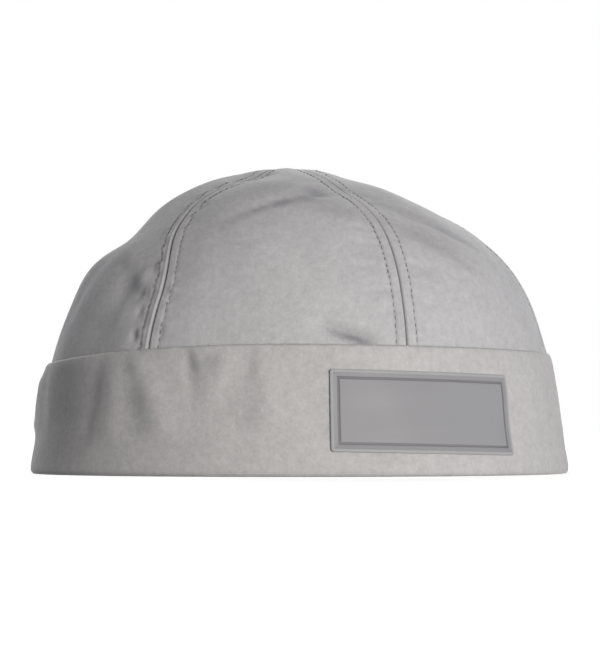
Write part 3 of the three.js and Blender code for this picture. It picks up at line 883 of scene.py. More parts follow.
def wall_faces(rows, columns, wrap_columns=False):
    """Faces of a wall between an outer and an inner grid, with its open edges closed."""
    count = rows * columns
    faces = [
        grid_faces(rows, columns, wrap_columns=wrap_columns),
        grid_faces(rows, columns, start=count, wrap_columns=wrap_columns, flip=True),
    ]
    low = np.arange(columns if wrap_columns else columns - 1)
    high = (low + 1) % columns
    faces.append(np.stack([low + count, high + count, high, low], axis=-1))
    top = (rows - 1) * columns
    faces.append(np.stack([top + low, top + high, top + high + count, top + low + count], axis=-1))
    if not wrap_columns:
        left = np.arange(rows - 1) * columns
        right = left + columns - 1
        faces.append(np.stack([left + count, left, left + columns, left + columns + count], axis=-1))
        faces.append(np.stack([right, right + count, right + columns + count, right + columns], axis=-1))
    return np.concatenate(faces)


def mesh_piece(name, points, faces, cloth=None, shade=None, merge=False):
    """A smooth mesh object in the scene. Cloth gives each point's place on the flat cloth, in metres. A
    face whose corners lie far apart on the cloth crosses the join, and its far corners are moved on. Shade
    is the painted shade at each point, for lying in a fold or where less light falls."""
    mesh = bpy.data.meshes.new(name)
    mesh.from_pydata(np.asarray(points).reshape(-1, 3).tolist(), [], np.asarray(faces).tolist())
    if cloth is not None:
        layer = mesh.uv_layers.new(name="Cloth")
        places = np.asarray(cloth).reshape(-1, 2)[np.asarray(faces)]
        for axis in (0, 1):
            whole = np.ptp(places[..., axis])
            low = places[..., axis].min(axis=1, keepdims=True)
            high = places[..., axis].max(axis=1, keepdims=True)
            far = (high - low > whole / 2) & (places[..., axis] < (low + high) / 2)
            places[..., axis] += far * whole
        layer.data.foreach_set("uv", places.ravel())
    if shade is not None:
        layer = mesh.attributes.new("Painted shade", "FLOAT", "POINT")
        layer.data.foreach_set("value", np.asarray(shade, dtype=np.float32).ravel())
    if merge:
        work = bmesh.new()
        work.from_mesh(mesh)
        bmesh.ops.remove_doubles(work, verts=work.verts, dist=1e-6)
        work.to_mesh(mesh)
        work.free()
    mesh.validate()
    mesh.shade_smooth()
    piece = bpy.data.objects.new(name, mesh)
    bpy.context.scene.collection.objects.link(piece)
    return piece


def swept_piece(name, angle, outsets, heights, points, shade=None):
    """A piece whose closed section runs once round the hat, with its place on the flat cloth."""
    walked = np.cumsum(
        np.hypot(np.diff(outsets, prepend=outsets[0]), np.diff(heights, prepend=heights[0]))
    )
    cloth = np.stack(np.broadcast_arrays(angle * mean_radius(), walked[None, :]), axis=-1)
    faces = grid_faces(*points.shape[:2], wrap_rows=True, wrap_columns=True, flip=True)
    return mesh_piece(name, points, faces, cloth, shade)


def dress(piece, material, slot, *nodes):
    """Gives a finished piece its material and its place in the frame."""
    piece.data.materials.clear()
    piece.data.materials.append(material)
    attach(piece, "root")
    if nodes:
        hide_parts(*nodes)


def add_node(tree, kind, inputs=None, **values):
    """Adds a node with its settings, and its inputs as values or as links from other nodes' outputs."""
    node = tree.nodes.new(kind)
    for name, value in values.items():
        setattr(node, name, value)
    for name, value in (inputs or {}).items():
        if isinstance(value, bpy.types.NodeSocket):
            tree.links.new(value, node.inputs[name])
        else:
            node.inputs[name].default_value = value
    return node


def new_material(name):
    """An empty material, with its tree and its surface shader."""
    material = bpy.data.materials.new(name)
    material.use_nodes = True
    tree = material.node_tree
    tree.nodes.clear()
    shader = add_node(tree, "ShaderNodeBsdfPrincipled")
    output = add_node(tree, "ShaderNodeOutputMaterial", {"Surface": shader.outputs["BSDF"]})
    output.location.x = 300
    return material, tree, shader


def shaded(tree, base, factor, low, high):
    """A colour that runs from a darker to a lighter shade of a base colour with a factor."""
    hue = [base[i] for i in range(3)]
    mix = add_node(tree, "ShaderNodeMix", {"Factor": factor}, data_type="RGBA")
    mix.inputs["A"].default_value = [c * low for c in hue] + [1]
    mix.inputs["B"].default_value = [min(1, c * high) for c in hue] + [1]
    return mix.outputs["Result"]


def with_painted_shade(tree, tone):
    """A colour darkened by painted shade, where the piece lies in a fold or a groove or where less light
    falls.
    """
    folds = add_node(tree, "ShaderNodeAttribute", attribute_name="Painted shade").outputs["Fac"]
    mix = add_node(tree, "ShaderNodeMix", {"Factor": folds}, data_type="RGBA", blend_type="MULTIPLY")
    tree.links.new(tone, mix.inputs["A"])
    mix.inputs["B"].default_value = PAINTED_SHADE_TINT
    return mix.outputs["Result"]


def weighted(tree, *terms):
    """The sum of some outputs, each with its weight."""
    total = 0.0
    for output, weight in terms:
        values = {0: output, 1: weight, 2: total}
        total = add_node(tree, "ShaderNodeMath", values, operation="MULTIPLY_ADD").outputs["Value"]
    return total


def twill_material(name, base, weave_strength):
    """Water-repellent polyester twill: matt, finely ribbed on the slant, a little mottled from its
    two yarn colours, with a short soft sheen from its brushed face."""
    material, tree, shader = new_material(name)
    cloth = add_node(tree, "ShaderNodeUVMap", uv_map="Cloth").outputs["UV"]
    # The real ribs are 0.4 mm apart. They are drawn 0.75 mm apart, the finest that shows here.
    rib = 0.75 * MM
    slant = add_node(tree, "ShaderNodeMapping", {"Vector": cloth, "Rotation": (0, 0, radians(52))})
    ribs = add_node(
        tree,
        "ShaderNodeTexWave",
        {
            "Vector": slant.outputs["Vector"],
            "Scale": 2 * pi / 20 / rib,
            "Distortion": 3.6,
            "Detail": 2.0,
            "Detail Scale": 1.6,
        },
        wave_type="BANDS",
        bands_direction="X",
    )
    # The two yarn colours show as specks, from single yarns, drawn coarse, up to cloudy patches
    specks = ((1.1 * MM, 3.0), (2.6 * MM, 3.0), (8 * MM, 3.0), (30 * MM, 2.0))
    yarns, flecks, mottle, blotch = (
        add_node(
            tree, "ShaderNodeTexNoise", {"Vector": cloth, "Scale": 1 / size, "Detail": detail}
        ).outputs["Fac"]
        for size, detail in specks
    )
    fine = weighted(tree, (ribs.outputs["Fac"], 0.14), (yarns, 1.0))
    mixed = weighted(tree, (fine, 1.0), (flecks, 1.3), (mottle, 0.8), (blotch, 0.5))
    spread = add_node(tree, "ShaderNodeMapRange", {"Value": mixed, "From Min": 0.9, "From Max": 2.8})
    tone = shaded(tree, base, spread.outputs["Result"], 0.74, 1.22)
    # Painted shade from the piece's attribute darkens the twill's colour
    tree.links.new(with_painted_shade(tree, tone), shader.inputs["Base Color"])
    relief = weighted(tree, (fine, 1.0), (flecks, 1.2))
    bump = add_node(
        tree,
        "ShaderNodeBump",
        {"Height": relief, "Strength": weave_strength, "Distance": 0.16 * MM},
    )
    tree.links.new(bump.outputs["Normal"], shader.inputs["Normal"])
    shader.inputs["Roughness"].default_value = 0.82
    shader.inputs["Specular IOR Level"].default_value = 0.3
    shader.inputs["Sheen Weight"].default_value = 0.22
    shader.inputs["Sheen Roughness"].default_value = 0.45
    return material


def satin_material(name, base):
    """Polyester satin: smooth floats in one direction, so it is darker than cotton and has long soft
    highlights on its folds."""
    material, tree, shader = new_material(name)
    cloth = add_node(tree, "ShaderNodeUVMap", uv_map="Cloth").outputs["UV"]
    # The real floats are 0.25 mm wide and do not show. They are drawn 0.8 mm wide and long.
    floats = add_node(tree, "ShaderNodeMapping", {"Vector": cloth, "Scale": (1.0, 0.12, 1.0)})
    sheen_lines = add_node(
        tree,
        "ShaderNodeTexNoise",
        {"Vector": floats.outputs["Vector"], "Scale": 1 / (0.8 * MM), "Detail": 2.0},
    )
    creases = add_node(
        tree,
        "ShaderNodeTexNoise",
        {"Vector": cloth, "Scale": 1 / (7 * MM), "Detail": 3.0, "Distortion": 0.6},
    )
    tone = add_node(
        tree,
        "ShaderNodeMath",
        {0: creases.outputs["Fac"], 1: 0.8, 2: sheen_lines.outputs["Fac"]},
        operation="MULTIPLY_ADD",
    )
    spread = add_node(
        tree,
        "ShaderNodeMapRange",
        {"Value": tone.outputs["Value"], "From Min": 0.6, "From Max": 1.2},
    )
    tree.links.new(shaded(tree, base, spread.outputs["Result"], 0.82, 1.12), shader.inputs["Base Color"])
    roughness = add_node(
        tree, "ShaderNodeMapRange", {"Value": creases.outputs["Fac"], "To Min": 0.3, "To Max": 0.44}
    )
    tree.links.new(roughness.outputs["Result"], shader.inputs["Roughness"])
    bump = add_node(
        tree, "ShaderNodeBump", {"Height": tone.outputs["Value"], "Strength": 0.35, "Distance": 0.2 * MM}
    )
    tree.links.new(bump.outputs["Normal"], shader.inputs["Normal"])
    shader.inputs["Specular IOR Level"].default_value = 0.6
    shader.inputs["Sheen Weight"].default_value = 0.15
    shader.inputs["Sheen Roughness"].default_value = 0.35
    return material


def rubber_material(name, base):
    """Moulded silicone rubber: an even mid grey from its pigment, with the fine grain of a blasted
    mould and a broad dull shine, a little duller where hands rub it."""
    material, tree, shader = new_material(name)
    place = add_node(tree, "ShaderNodeTexCoord").outputs["Object"]
    # The mould's grit is 0.1 mm. It is drawn 0.35 mm wide so that it shows.
    grain = add_node(
        tree, "ShaderNodeTexNoise", {"Vector": place, "Scale": 1 / (0.35 * MM), "Detail": 2.0}
    )
    rub = add_node(
        tree, "ShaderNodeTexNoise", {"Vector": place, "Scale": 1 / (14 * MM), "Detail": 3.0}
    )
    tone = shaded(tree, base, rub.outputs["Fac"], 0.98, 1.02)
    # Painted shade from the piece's attribute darkens the rubber's colour in the label's groove and field
    tree.links.new(with_painted_shade(tree, tone), shader.inputs["Base Color"])
    roughness = add_node(
        tree, "ShaderNodeMapRange", {"Value": rub.outputs["Fac"], "To Min": 0.5, "To Max": 0.6}
    )
    tree.links.new(roughness.outputs["Result"], shader.inputs["Roughness"])
    bump = add_node(
        tree, "ShaderNodeBump", {"Height": grain.outputs["Fac"], "Strength": 0.25, "Distance": 0.05 * MM}
    )
    tree.links.new(bump.outputs["Normal"], shader.inputs["Normal"])
    shader.inputs["IOR"].default_value = 1.42
    shader.inputs["Specular IOR Level"].default_value = 0.5
    return material


def thread_material(name, base):
    """Spun polyester sewing thread: its colour is painted a shade darker than the cloth, as painted shade
    for the dimples it lies in.
    """
    material, tree, shader = new_material(name)
    place = add_node(tree, "ShaderNodeTexCoord").outputs["Object"]
    # The real fibres are 0.02 mm. They are drawn 0.5 mm wide so that the thread looks spun.
    fibres = add_node(
        tree, "ShaderNodeTexNoise", {"Vector": place, "Scale": 1 / (0.5 * MM), "Detail": 2.0}
    )
    tree.links.new(shaded(tree, base, fibres.outputs["Fac"], 0.8, 1.1), shader.inputs["Base Color"])
    bump = add_node(
        tree, "ShaderNodeBump", {"Height": fibres.outputs["Fac"], "Strength": 0.4, "Distance": 0.06 * MM}
    )
    tree.links.new(bump.outputs["Normal"], shader.inputs["Normal"])
    shader.inputs["Roughness"].default_value = 0.75
    shader.inputs["Sheen Weight"].default_value = 0.1
    return material


def floor_material(name, base, glow):
    """Matt light table: pale and even, lit a little from below, with a faint unevenness of its paint."""
    material, tree, shader = new_material(name)
    place = add_node(tree, "ShaderNodeTexCoord").outputs["Object"]
    paint = add_node(
        tree, "ShaderNodeTexNoise", {"Vector": place, "Scale": 1 / (250 * MM), "Detail": 2.0}
    )
    tree.links.new(shaded(tree, base, paint.outputs["Fac"], 0.995, 1.0), shader.inputs["Base Color"])
    shader.inputs["Roughness"].default_value = 0.9
    shader.inputs["Specular IOR Level"].default_value = 0.0
    shader.inputs["Emission Color"].default_value = (1, 0.985, 0.97, 1)
    shader.inputs["Emission Strength"].default_value = glow
    return material


def named_material(name, make, *details):
    """A material by name, made the first time it is asked for."""
    return bpy.data.materials.get(name) or make(name, *details)


def crown_panel(side, right_seam, left_seam):
    """One panel of the crown, as a closed wall with its cloth coordinates."""
    crown = settings().crown
    foot = asin((crown.foot_height - crown.widest_height) / crown.dome_height)
    tip = pi / 2 - crown.tip_radius / crown.half_width
    share = np.linspace(0, 1, crown.rows + 1)
    climb = (foot + (tip - foot) * share)[:, None]
    # Columns crowd towards the seams, where the groove, the stitch rows and the puckers lie
    even = np.linspace(-1, 1, crown.columns + 1)
    crowded = (1 - CROWDING) * even + CROWDING * np.sin(pi / 2 * np.sin(pi / 2 * even))
    right_edge = seam_angle(right_seam, climb)
    whole_turn = turn_between(right_edge, seam_angle(left_seam, climb))
    half_turn = whole_turn / 2 - crown.seam_gap / 2 / girth_radius(climb)
    angle = right_edge - whole_turn / 2 + crowded[None, :] * half_turn
    climb = np.broadcast_to(climb, angle.shape)
    walls = []
    for inset in (0.0, crown.wall):
        points = crown_point(angle, climb, inset)
        points[0, :, 2] = crown.foot_height
        walls.append(points)
    aside = (angle - (right_edge - whole_turn / 2)) * girth_radius(climb)
    cloth = np.stack([aside, climb * crown.dome_height], axis=-1)
    # Painted shade for the outer wall; the inner wall gets none
    shade = crown_painted_shade(angle, climb)
    piece = mesh_piece(
        f"crown_{side}_cloth",
        np.stack(walls),
        wall_faces(*angle.shape),
        np.stack([cloth, cloth]),
        np.stack([shade, 0 * shade]),
    )
    fabric = settings().finish.crown_fabric
    material = named_material("Polyester twill, crown", twill_material, fabric, WEAVE_STRENGTH)
    dress(piece, material, "crown_fabric", f"crown_panel_{side}")


class RAINHAT_OT_crown(bpy.types.Operator):
    """Make the six panels of the crown"""

    bl_idname = "rainhat.crown"
    bl_label = "Crown panels"

    def execute(self, context):
        for number, side in enumerate(PANELS):
            crown_panel(side, SEAMS[(number + 1) % len(SEAMS)], SEAMS[number])
        return {"FINISHED"}


def stitch_paths():
    """A mesh of bare edges that runs along the middle of each stitch row on the crown."""
    crown, stitches = settings().crown, settings().stitches
    low = asin((STITCHES_FROM - crown.widest_height) / crown.dome_height)
    climb = np.linspace(low, STITCHES_TO, STITCH_PATH_POINTS)
    points, edges = [], []
    for seam in SEAMS:
        for offset in (-stitches.left_offset, stitches.right_offset):
            angle = seam_angle(seam, climb) + offset / girth_radius(climb)
            # The thread's middle stands a quarter of its width above the sunk row
            path = crown_point(angle, climb, -stitches.thread_width / 4)
            start = len(points)
            points.extend(path.tolist())
            edges.extend((i, i + 1) for i in range(start, len(points) - 1))
    mesh = bpy.data.meshes.new("stitch_rows")
    mesh.from_pydata(points, edges, [])
    return mesh


def stitching_tree(material):
    """A node tree that lays stitches along bare edges."""
    tree = bpy.data.node_groups.new("Stitches along rows", "GeometryNodeTree")
    tree.interface.new_socket("Geometry", in_out="INPUT", socket_type="NodeSocketGeometry")
    for name in ("Pitch", "Stitch Length", "Thread Width", "Wander"):
        socket = tree.interface.new_socket(name, in_out="INPUT", socket_type="NodeSocketFloat")
        socket.subtype = "DISTANCE"
    tree.interface.new_socket("Geometry", in_out="OUTPUT", socket_type="NodeSocketGeometry")
    given = add_node(tree, "NodeGroupInput").outputs
    rows = add_node(tree, "GeometryNodeMeshToCurve", {"Mesh": given["Geometry"]})
    spaced = add_node(
        tree,
        "GeometryNodeResampleCurve",
        {"Curve": rows.outputs["Curve"], "Length": given["Pitch"]},
        mode="LENGTH",
    )
    tangent = add_node(tree, "GeometryNodeInputTangent")
    aim = add_node(
        tree, "FunctionNodeAlignRotationToVector", {"Vector": tangent.outputs["Tangent"]}, axis="Z"
    )
    half_width = add_node(
        tree, "ShaderNodeMath", {0: given["Thread Width"], 1: 0.5}, operation="MULTIPLY"
    )
    bead = add_node(
        tree, "GeometryNodeMeshUVSphere", {"Segments": 8, "Rings": 6, "Radius": half_width.outputs["Value"]}
    )
    stretch = add_node(
        tree, "ShaderNodeMath", {0: given["Stitch Length"], 1: given["Thread Width"]}, operation="DIVIDE"
    )
    longer = add_node(tree, "ShaderNodeCombineXYZ", {"X": 1.0, "Y": 1.0, "Z": stretch.outputs["Value"]})
    stitch = add_node(
        tree, "GeometryNodeTransform", {"Geometry": bead.outputs["Mesh"], "Scale": longer.outputs["Vector"]}
    )
    uneven = add_node(tree, "FunctionNodeRandomValue", {"Seed": 5}, data_type="FLOAT_VECTOR")
    uneven.inputs["Min"].default_value = (0.9, 0.9, 0.88)
    uneven.inputs["Max"].default_value = (1.1, 1.1, 1.06)
    aside = add_node(tree, "FunctionNodeRandomValue", {"Seed": 11}, data_type="FLOAT_VECTOR")
    aside.inputs["Min"].default_value = (-1, -1, -1)
    aside.inputs["Max"].default_value = (1, 1, 1)
    drift = add_node(
        tree,
        "ShaderNodeVectorMath",
        {0: aside.outputs["Value"], "Scale": given["Wander"]},
        operation="SCALE",
    )
    nudged = add_node(
        tree,
        "GeometryNodeSetPosition",
        {"Geometry": spaced.outputs["Curve"], "Offset": drift.outputs["Vector"]},
    )
    laid = add_node(
        tree,
        "GeometryNodeInstanceOnPoints",
        {
            "Points": nudged.outputs["Geometry"],
            "Instance": stitch.outputs["Geometry"],
            "Rotation": aim.outputs["Rotation"],
            "Scale": uneven.outputs["Value"],
        },
    )
    real = add_node(tree, "GeometryNodeRealizeInstances", {"Geometry": laid.outputs["Instances"]})
    coloured = add_node(
        tree, "GeometryNodeSetMaterial", {"Geometry": real.outputs["Geometry"], "Material": material}
    )
    add_node(tree, "NodeGroupOutput", {"Geometry": coloured.outputs["Geometry"]})
    return tree


def baked_nodes(name, mesh, tree, values):
    """The plain mesh that a node tree makes of a mesh, as an object with no modifier."""
    carrier = bpy.data.objects.new(name, mesh)
    bpy.context.scene.collection.objects.link(carrier)
    modifier = carrier.modifiers.new("Shape", "NODES")
    modifier.node_group = tree
    inputs = [item for item in tree.interface.items_tree if item.in_out == "INPUT"]
    sockets = {item.name: item.identifier for item in inputs}
    for socket, value in values.items():
        modifier[sockets[socket]] = value
    depsgraph = bpy.context.evaluated_depsgraph_get()
    made = bpy.data.meshes.new_from_object(carrier.evaluated_get(depsgraph))
    made.name = name
    carrier.modifiers.remove(modifier)
    carrier.data = made
    bpy.data.meshes.remove(mesh)
    if not made.polygons:
        raise RuntimeError(f"{name} came out empty")
    made.shade_smooth()
    return carrier


class RAINHAT_OT_topstitching(bpy.types.Operator):
    """Lay the rows of topstitching beside the crown's seams"""

    bl_idname = "rainhat.topstitching"
    bl_label = "Topstitching"

    def execute(self, context):
        stitches, finish = settings().stitches, settings().finish
        material = named_material("Spun polyester thread", thread_material, finish.thread)
        values = {
            "Pitch": stitches.pitch,
            "Stitch Length": stitches.stitch_length,
            "Thread Width": stitches.thread_width,
            "Wander": stitches.wander,
        }
        piece = baked_nodes("topstitching", stitch_paths(), stitching_tree(material), values)
        dress(piece, material, "crown_fabric")
        return {"FINISHED"}


class RAINHAT_OT_cuff(bpy.types.Operator):
    """Make the turned-up cuff with its rolled fold"""

    bl_idname = "rainhat.cuff"
    bl_label = "Cuff"

    def execute(self, context):
        cuff, finish = settings().cuff, settings().finish
        outsets, heights = closed_spline(CUFF_SECTION, cuff.section_steps)
        heights = np.maximum(heights, 0)
        angle = ((np.arange(cuff.steps) + 0.5) / cuff.steps * 2 * pi - pi)[:, None]
        height = heights[None, :]
        outer_face = np.gradient(heights)[None, :] < 0
        # The band's upright join at the back is a narrow groove that ends above the fold
        off = turn_between(angle, pi) * mean_radius()
        pull = cuff.join_depth * bell(off, JOIN_WIDTH) * ramp(height, *JOIN_FADE) * outer_face
        outward = oval_point(angle, 1.0, 0 * height) - oval_point(angle, 0.0, 0 * height)
        points = cuff_point(angle, outsets[None, :], height) - outward * pull[..., None]
        # Painted shade on the cuff's outer face only
        shade = painted_shade(CUFF_PAINTED_SHADE, lambda _: mean_radius(), angle, height, MM) * outer_face
        piece = swept_piece("cuff_cloth", angle, outsets, heights, points, shade)
        fabric = finish.cuff_fabric
        material = named_material("Polyester twill, cuff", twill_material, fabric, WEAVE_STRENGTH)
        dress(piece, material, "cuff_fabric", "cuff")
        return {"FINISHED"}


def lining_fold(angle, height):
    """How far the lining's folds stand in from its plain form."""
    radius = mean_radius()
    depth = np.zeros(np.broadcast(angle, height).shape)
    for fold in FOLDS:
        aside = turn_between(angle, radians(fold.from_angle)) * radius
        run = turn_between(radians(fold.to_angle), radians(fold.from_angle)) * radius
        rise = (fold.to_height - fold.from_height) * MM
        _, off = beside_line(aside, height - fold.from_height * MM, run, rise, clipped=True)
        # Each fold is a soft ridge with a sharper one on it
        width = fold.width * MM
        ridge = 0.6 * bell(off, width) + 0.4 * np.exp(-off / (0.5 * width))
        depth = np.maximum(depth, fold.depth * MM * ridge)
    return depth


def lining_point(angle, climb, inset):
    """Points of the lining, a given depth in from its outer face."""
    crown, lining = settings().crown, settings().lining
    face = crown_face(angle, climb)
    normal = crown_normal(angle, climb)
    foot = lining.foot_height
    hem = ramp(face[..., 2], foot, foot + lining.hem_rise)
    slack = lining.slack * np.maximum(0, np.sin(climb)) ** 2 + crown.swell
    point = face - normal * (LINING_DEPTH + lining.gap + slack * hem)[..., None]
    # Below the crown's widest height the lining hangs no further out than the crown's plain oval
    limit = oval_point(angle, 0.0, point[..., 2])
    too_far = np.hypot(point[..., 0], point[..., 1]) > np.hypot(limit[..., 0], limit[..., 1])
    point = np.where(((climb < 0) & too_far)[..., None], limit, point)
    height = point[..., 2]
    ridges = 1 - np.abs(unevenness(point * (1, 1, 0.55), 17 * MM, seed=31))
    small = np.abs(unevenness(point * (1, 1, 0.7), 8 * MM, seed=32))
    wrinkles = lining.wrinkle * (np.clip(ridges, -1, 1) + 0.45 * small) * hem
    turns = angle * GATHER_RADIUS * 2 * pi / lining.gather_pitch
    gathers = np.sin(turns + 1.5 * np.sin(5 * angle))
    fade = bell(height - foot, GATHER_FADE) * ramp(height, foot, foot + 3 * MM)
    inward = inset + hem * lining_fold(angle, height) + np.maximum(0, wrinkles)
    inward = inward + lining.gather * (1 + gathers) / 2 * fade
    return point - normal * inward[..., None]


class RAINHAT_OT_lining(bpy.types.Operator):
    """Make the loose satin lining"""

    bl_idname = "rainhat.lining"
    bl_label = "Lining"

    def execute(self, context):
        crown, lining, finish = settings().crown, settings().lining, settings().finish
        foot = asin((lining.foot_height - crown.widest_height) / crown.dome_height)
        # The rows are a little closer near the hem, where the lining is gathered
        share = np.linspace(0, 1, lining.rows + 1) ** 1.12
        climb = (foot + (pi / 2 - foot) * share)[:, None]
        angle = (np.arange(lining.steps) / lining.steps * 2 * pi - pi)[None, :]
        climb, angle = np.broadcast_arrays(climb, angle)
        walls = []
        for inset in (0.0, lining.wall):
            points = lining_point(angle, climb, inset)
            points[0, :, 2] = lining.foot_height
            points[-1] = points[-1].mean(axis=0)
            walls.append(points)
        cloth = np.stack([angle * girth_radius(climb), climb * crown.dome_height], axis=-1)
        rows, columns = angle.shape
        faces = wall_faces(rows, columns, wrap_columns=True)
        # The two walls stay apart at the pole, so the edge between them there is left out
        pole = 2 * (rows - 1) * columns + columns
        faces = np.concatenate([faces[:pole], faces[pole + columns :]])
        piece = mesh_piece("lining_cloth", np.stack(walls), faces, np.stack([cloth, cloth]), merge=True)
        material = named_material("Polyester satin, brown", satin_material, finish.satin)
        dress(piece, material, "lining_satin", "lining")
        return {"FINISHED"}


class RAINHAT_OT_strip(bpy.types.Operator):
    """Make the satin strip at the mouth"""

    bl_idname = "rainhat.strip"
    bl_label = "Lining strip"

    def execute(self, context):
        lining, finish = settings().lining, settings().finish
        outsets, heights = closed_spline(STRIP_SECTION, STRIP_STEPS)
        angle = (np.arange(lining.strip_steps) / lining.strip_steps * 2 * pi - pi)[:, None]
        inner_face = outsets[None, :] < STRIP_INNER_FACE
        puckers = STRIP_PUCKER * np.sin(angle * STRIP_PUCKERS) * inner_face
        height = np.broadcast_to(heights[None, :], puckers.shape)
        points = oval_point(angle, outsets[None, :] + puckers, height)
        piece = swept_piece("lining_strip_cloth", angle, outsets, heights, points)
        material = named_material("Polyester satin, pinkish", satin_material, finish.strip)
        dress(piece, material, "strip_satin", "lining_strip")
        return {"FINISHED"}


def label_outline(inset, long_steps=96, short_steps=38, corner_steps=6):
    """The label's outline at an inset, clockwise from the middle of its upper left corner."""
    label = settings().label
    radius = max(LEAST_CORNER, label.corner_radius - inset)
    wide, high = label.width / 2 - inset - radius, label.height / 2 - inset - radius
    corners = ((-wide, high), (wide, high), (wide, -high), (-wide, -high))
    half = corner_steps // 2
    points = []
    for corner, (x, y) in enumerate(corners):
        next_x, next_y = corners[(corner + 1) % 4]
        steps = (long_steps, short_steps)[corner % 2]
        start = 3 * pi / 4 - corner * pi / 2
        out_x, out_y = radius * cos(start - pi / 4), radius * sin(start - pi / 4)
        for step in range(half):
            bend = start - pi / 4 * step / half
            points.append((x + radius * cos(bend), y + radius * sin(bend)))
        for step in range(steps):
            share = step / steps
            points.append((x + (next_x - x) * share + out_x, y + (next_y - y) * share + out_y))
        for step in range(half):
            bend = start - pi / 4 - pi / 4 * step / half
            points.append((next_x + radius * cos(bend), next_y + radius * sin(bend)))
    return np.array(points), long_steps + corner_steps, short_steps + corner_steps


def filled_outline(loop, columns, rows):
    """Places inside an outline, blended from its four sides, as a grid whose rim is the outline."""
    closed = np.concatenate([loop, loop[:1]])
    top = closed[: columns + 1]
    right = closed[columns : columns + rows + 1]
    bottom = closed[columns + rows : 2 * columns + rows + 1][::-1]
    left = closed[2 * columns + rows :][::-1]
    across = np.linspace(0, 1, columns + 1)[None, :, None]
    down = np.linspace(0, 1, rows + 1)[:, None, None]
    sides = (1 - down) * top[None] + down * bottom[None]
    sides = sides + (1 - across) * left[:, None] + across * right[:, None]
    ends = (1 - down) * ((1 - across) * top[0] + across * top[-1])
    ends = ends + down * ((1 - across) * bottom[0] + across * bottom[-1])
    return sides - ends


def label_points(along, up, stand_off):
    """Points over the cuff's face, from places on the flat label."""
    crown, cuff, label = settings().crown, settings().cuff, settings().label
    # The cuff's angle at each step along the label, walked both ways from its middle
    fine = np.linspace(-0.6 * label.width, 0.6 * label.width, 481)
    angles = np.empty_like(fine)
    middle = len(fine) // 2
    angles[middle] = label.angle
    for i in range(middle + 1, len(fine)):
        for here, before, sign in ((i, i - 1, 1), (2 * middle - i, 2 * middle - i + 1, -1)):
            wide = (crown.half_width + LABEL_OUTSET) * cos(angles[before])
            deep = (crown.half_length + LABEL_OUTSET) * sin(angles[before])
            angles[here] = angles[before] + sign * (fine[1] - fine[0]) / hypot(wide, deep)
    angle = np.interp(along, fine, angles)
    # The label keeps its height where the cuff is taller, so the cuff's lift is taken out
    height = label.middle_height + up - along * sin(label.tilt)
    stretch = cuff_lift(angle) / (cuff.height - cuff.leg_height)
    lowered = (height + cuff.leg_height * stretch) / (1 + stretch)
    height = np.where(height > cuff.leg_height, lowered, height)
    face = CUFF_SECTION[:OUTER_FACE_CORNERS]
    heights, outsets = zip(*sorted((corner.height * MM, corner.outset * MM) for corner in face))
    outset = np.interp(height, heights, outsets)
    below, above = np.interp(height - MM, heights, outsets), np.interp(height + MM, heights, outsets)
    lean = np.arctan((below - above) / (2 * MM))
    return cuff_point(angle, outset + stand_off * np.cos(lean), height + stand_off * np.sin(lean))


class RAINHAT_OT_label(bpy.types.Operator):
    """Make the moulded label patch with its raised frame and bare field"""

    bl_idname = "rainhat.label"
    bl_label = "Label patch"

    def execute(self, context):
        label, finish = settings().label, settings().finish
        loops = [label_outline(ring.inset * MM) for ring in LABEL_RINGS]
        rises = [label.gap + ring.rise * MM for ring in LABEL_RINGS]
        rings = [label_points(*loop.T, rise) for (loop, _, _), rise in zip(loops, rises)]
        ring_size = len(rings[0])
        faces = grid_faces(len(rings), ring_size, wrap_columns=True, flip=True)
        _, columns, rows = loops[-1]
        for (loop, _, _), rise, flip in ((loops[-1], rises[-1], True), (loops[0], rises[0], False)):
            grid = filled_outline(loop, columns, rows)
            start = sum(len(ring) for ring in rings)
            rings.append(label_points(*grid.reshape(-1, 2).T, rise))
            faces = np.concatenate([faces, grid_faces(rows + 1, columns + 1, start=start, flip=flip)])
        # Painted shadow: the shade is deeper near the frame's upper and right sides, as if the frame shaded
        # the groove from a light at the upper right
        shade = []
        for ring, (loop, _, _) in zip(LABEL_RINGS[:-1], loops):
            side = np.max(loop / (label.width / 2, label.height / 2), axis=1)
            shade.append(ring.shade * (0.7 + 0.3 * np.clip(side, 0, 1) ** 8))
        field = (rows + 1) * (columns + 1)
        shade.append(np.full(ring_size + field, LABEL_RINGS[-1].shade))
        shade = np.concatenate([*shade, np.zeros(field)])
        piece = mesh_piece("label_patch_rubber", np.concatenate(rings), faces, shade=shade, merge=True)
        material = named_material("Moulded silicone rubber", rubber_material, finish.rubber)
        dress(piece, material, "label_rubber", "label_patch")
        return {"FINISHED"}


def sun(name, azimuth, elevation, strength, softness, tint):
    """A soft distant light, placed by its azimuth from the hat's front and its elevation."""
    data = bpy.data.lights.new(name, "SUN")
    data.energy = strength
    data.angle = radians(softness)
    data.color = tint
    light = bpy.data.objects.new(name, data)
    turned, raised = radians(azimuth), radians(elevation)
    towards = Vector((sin(turned) * cos(raised), -cos(turned) * cos(raised), sin(raised)))
    light.rotation_mode = "QUATERNION"
    light.rotation_quaternion = towards.to_track_quat("Z", "Y")
    bpy.context.scene.collection.objects.link(light)


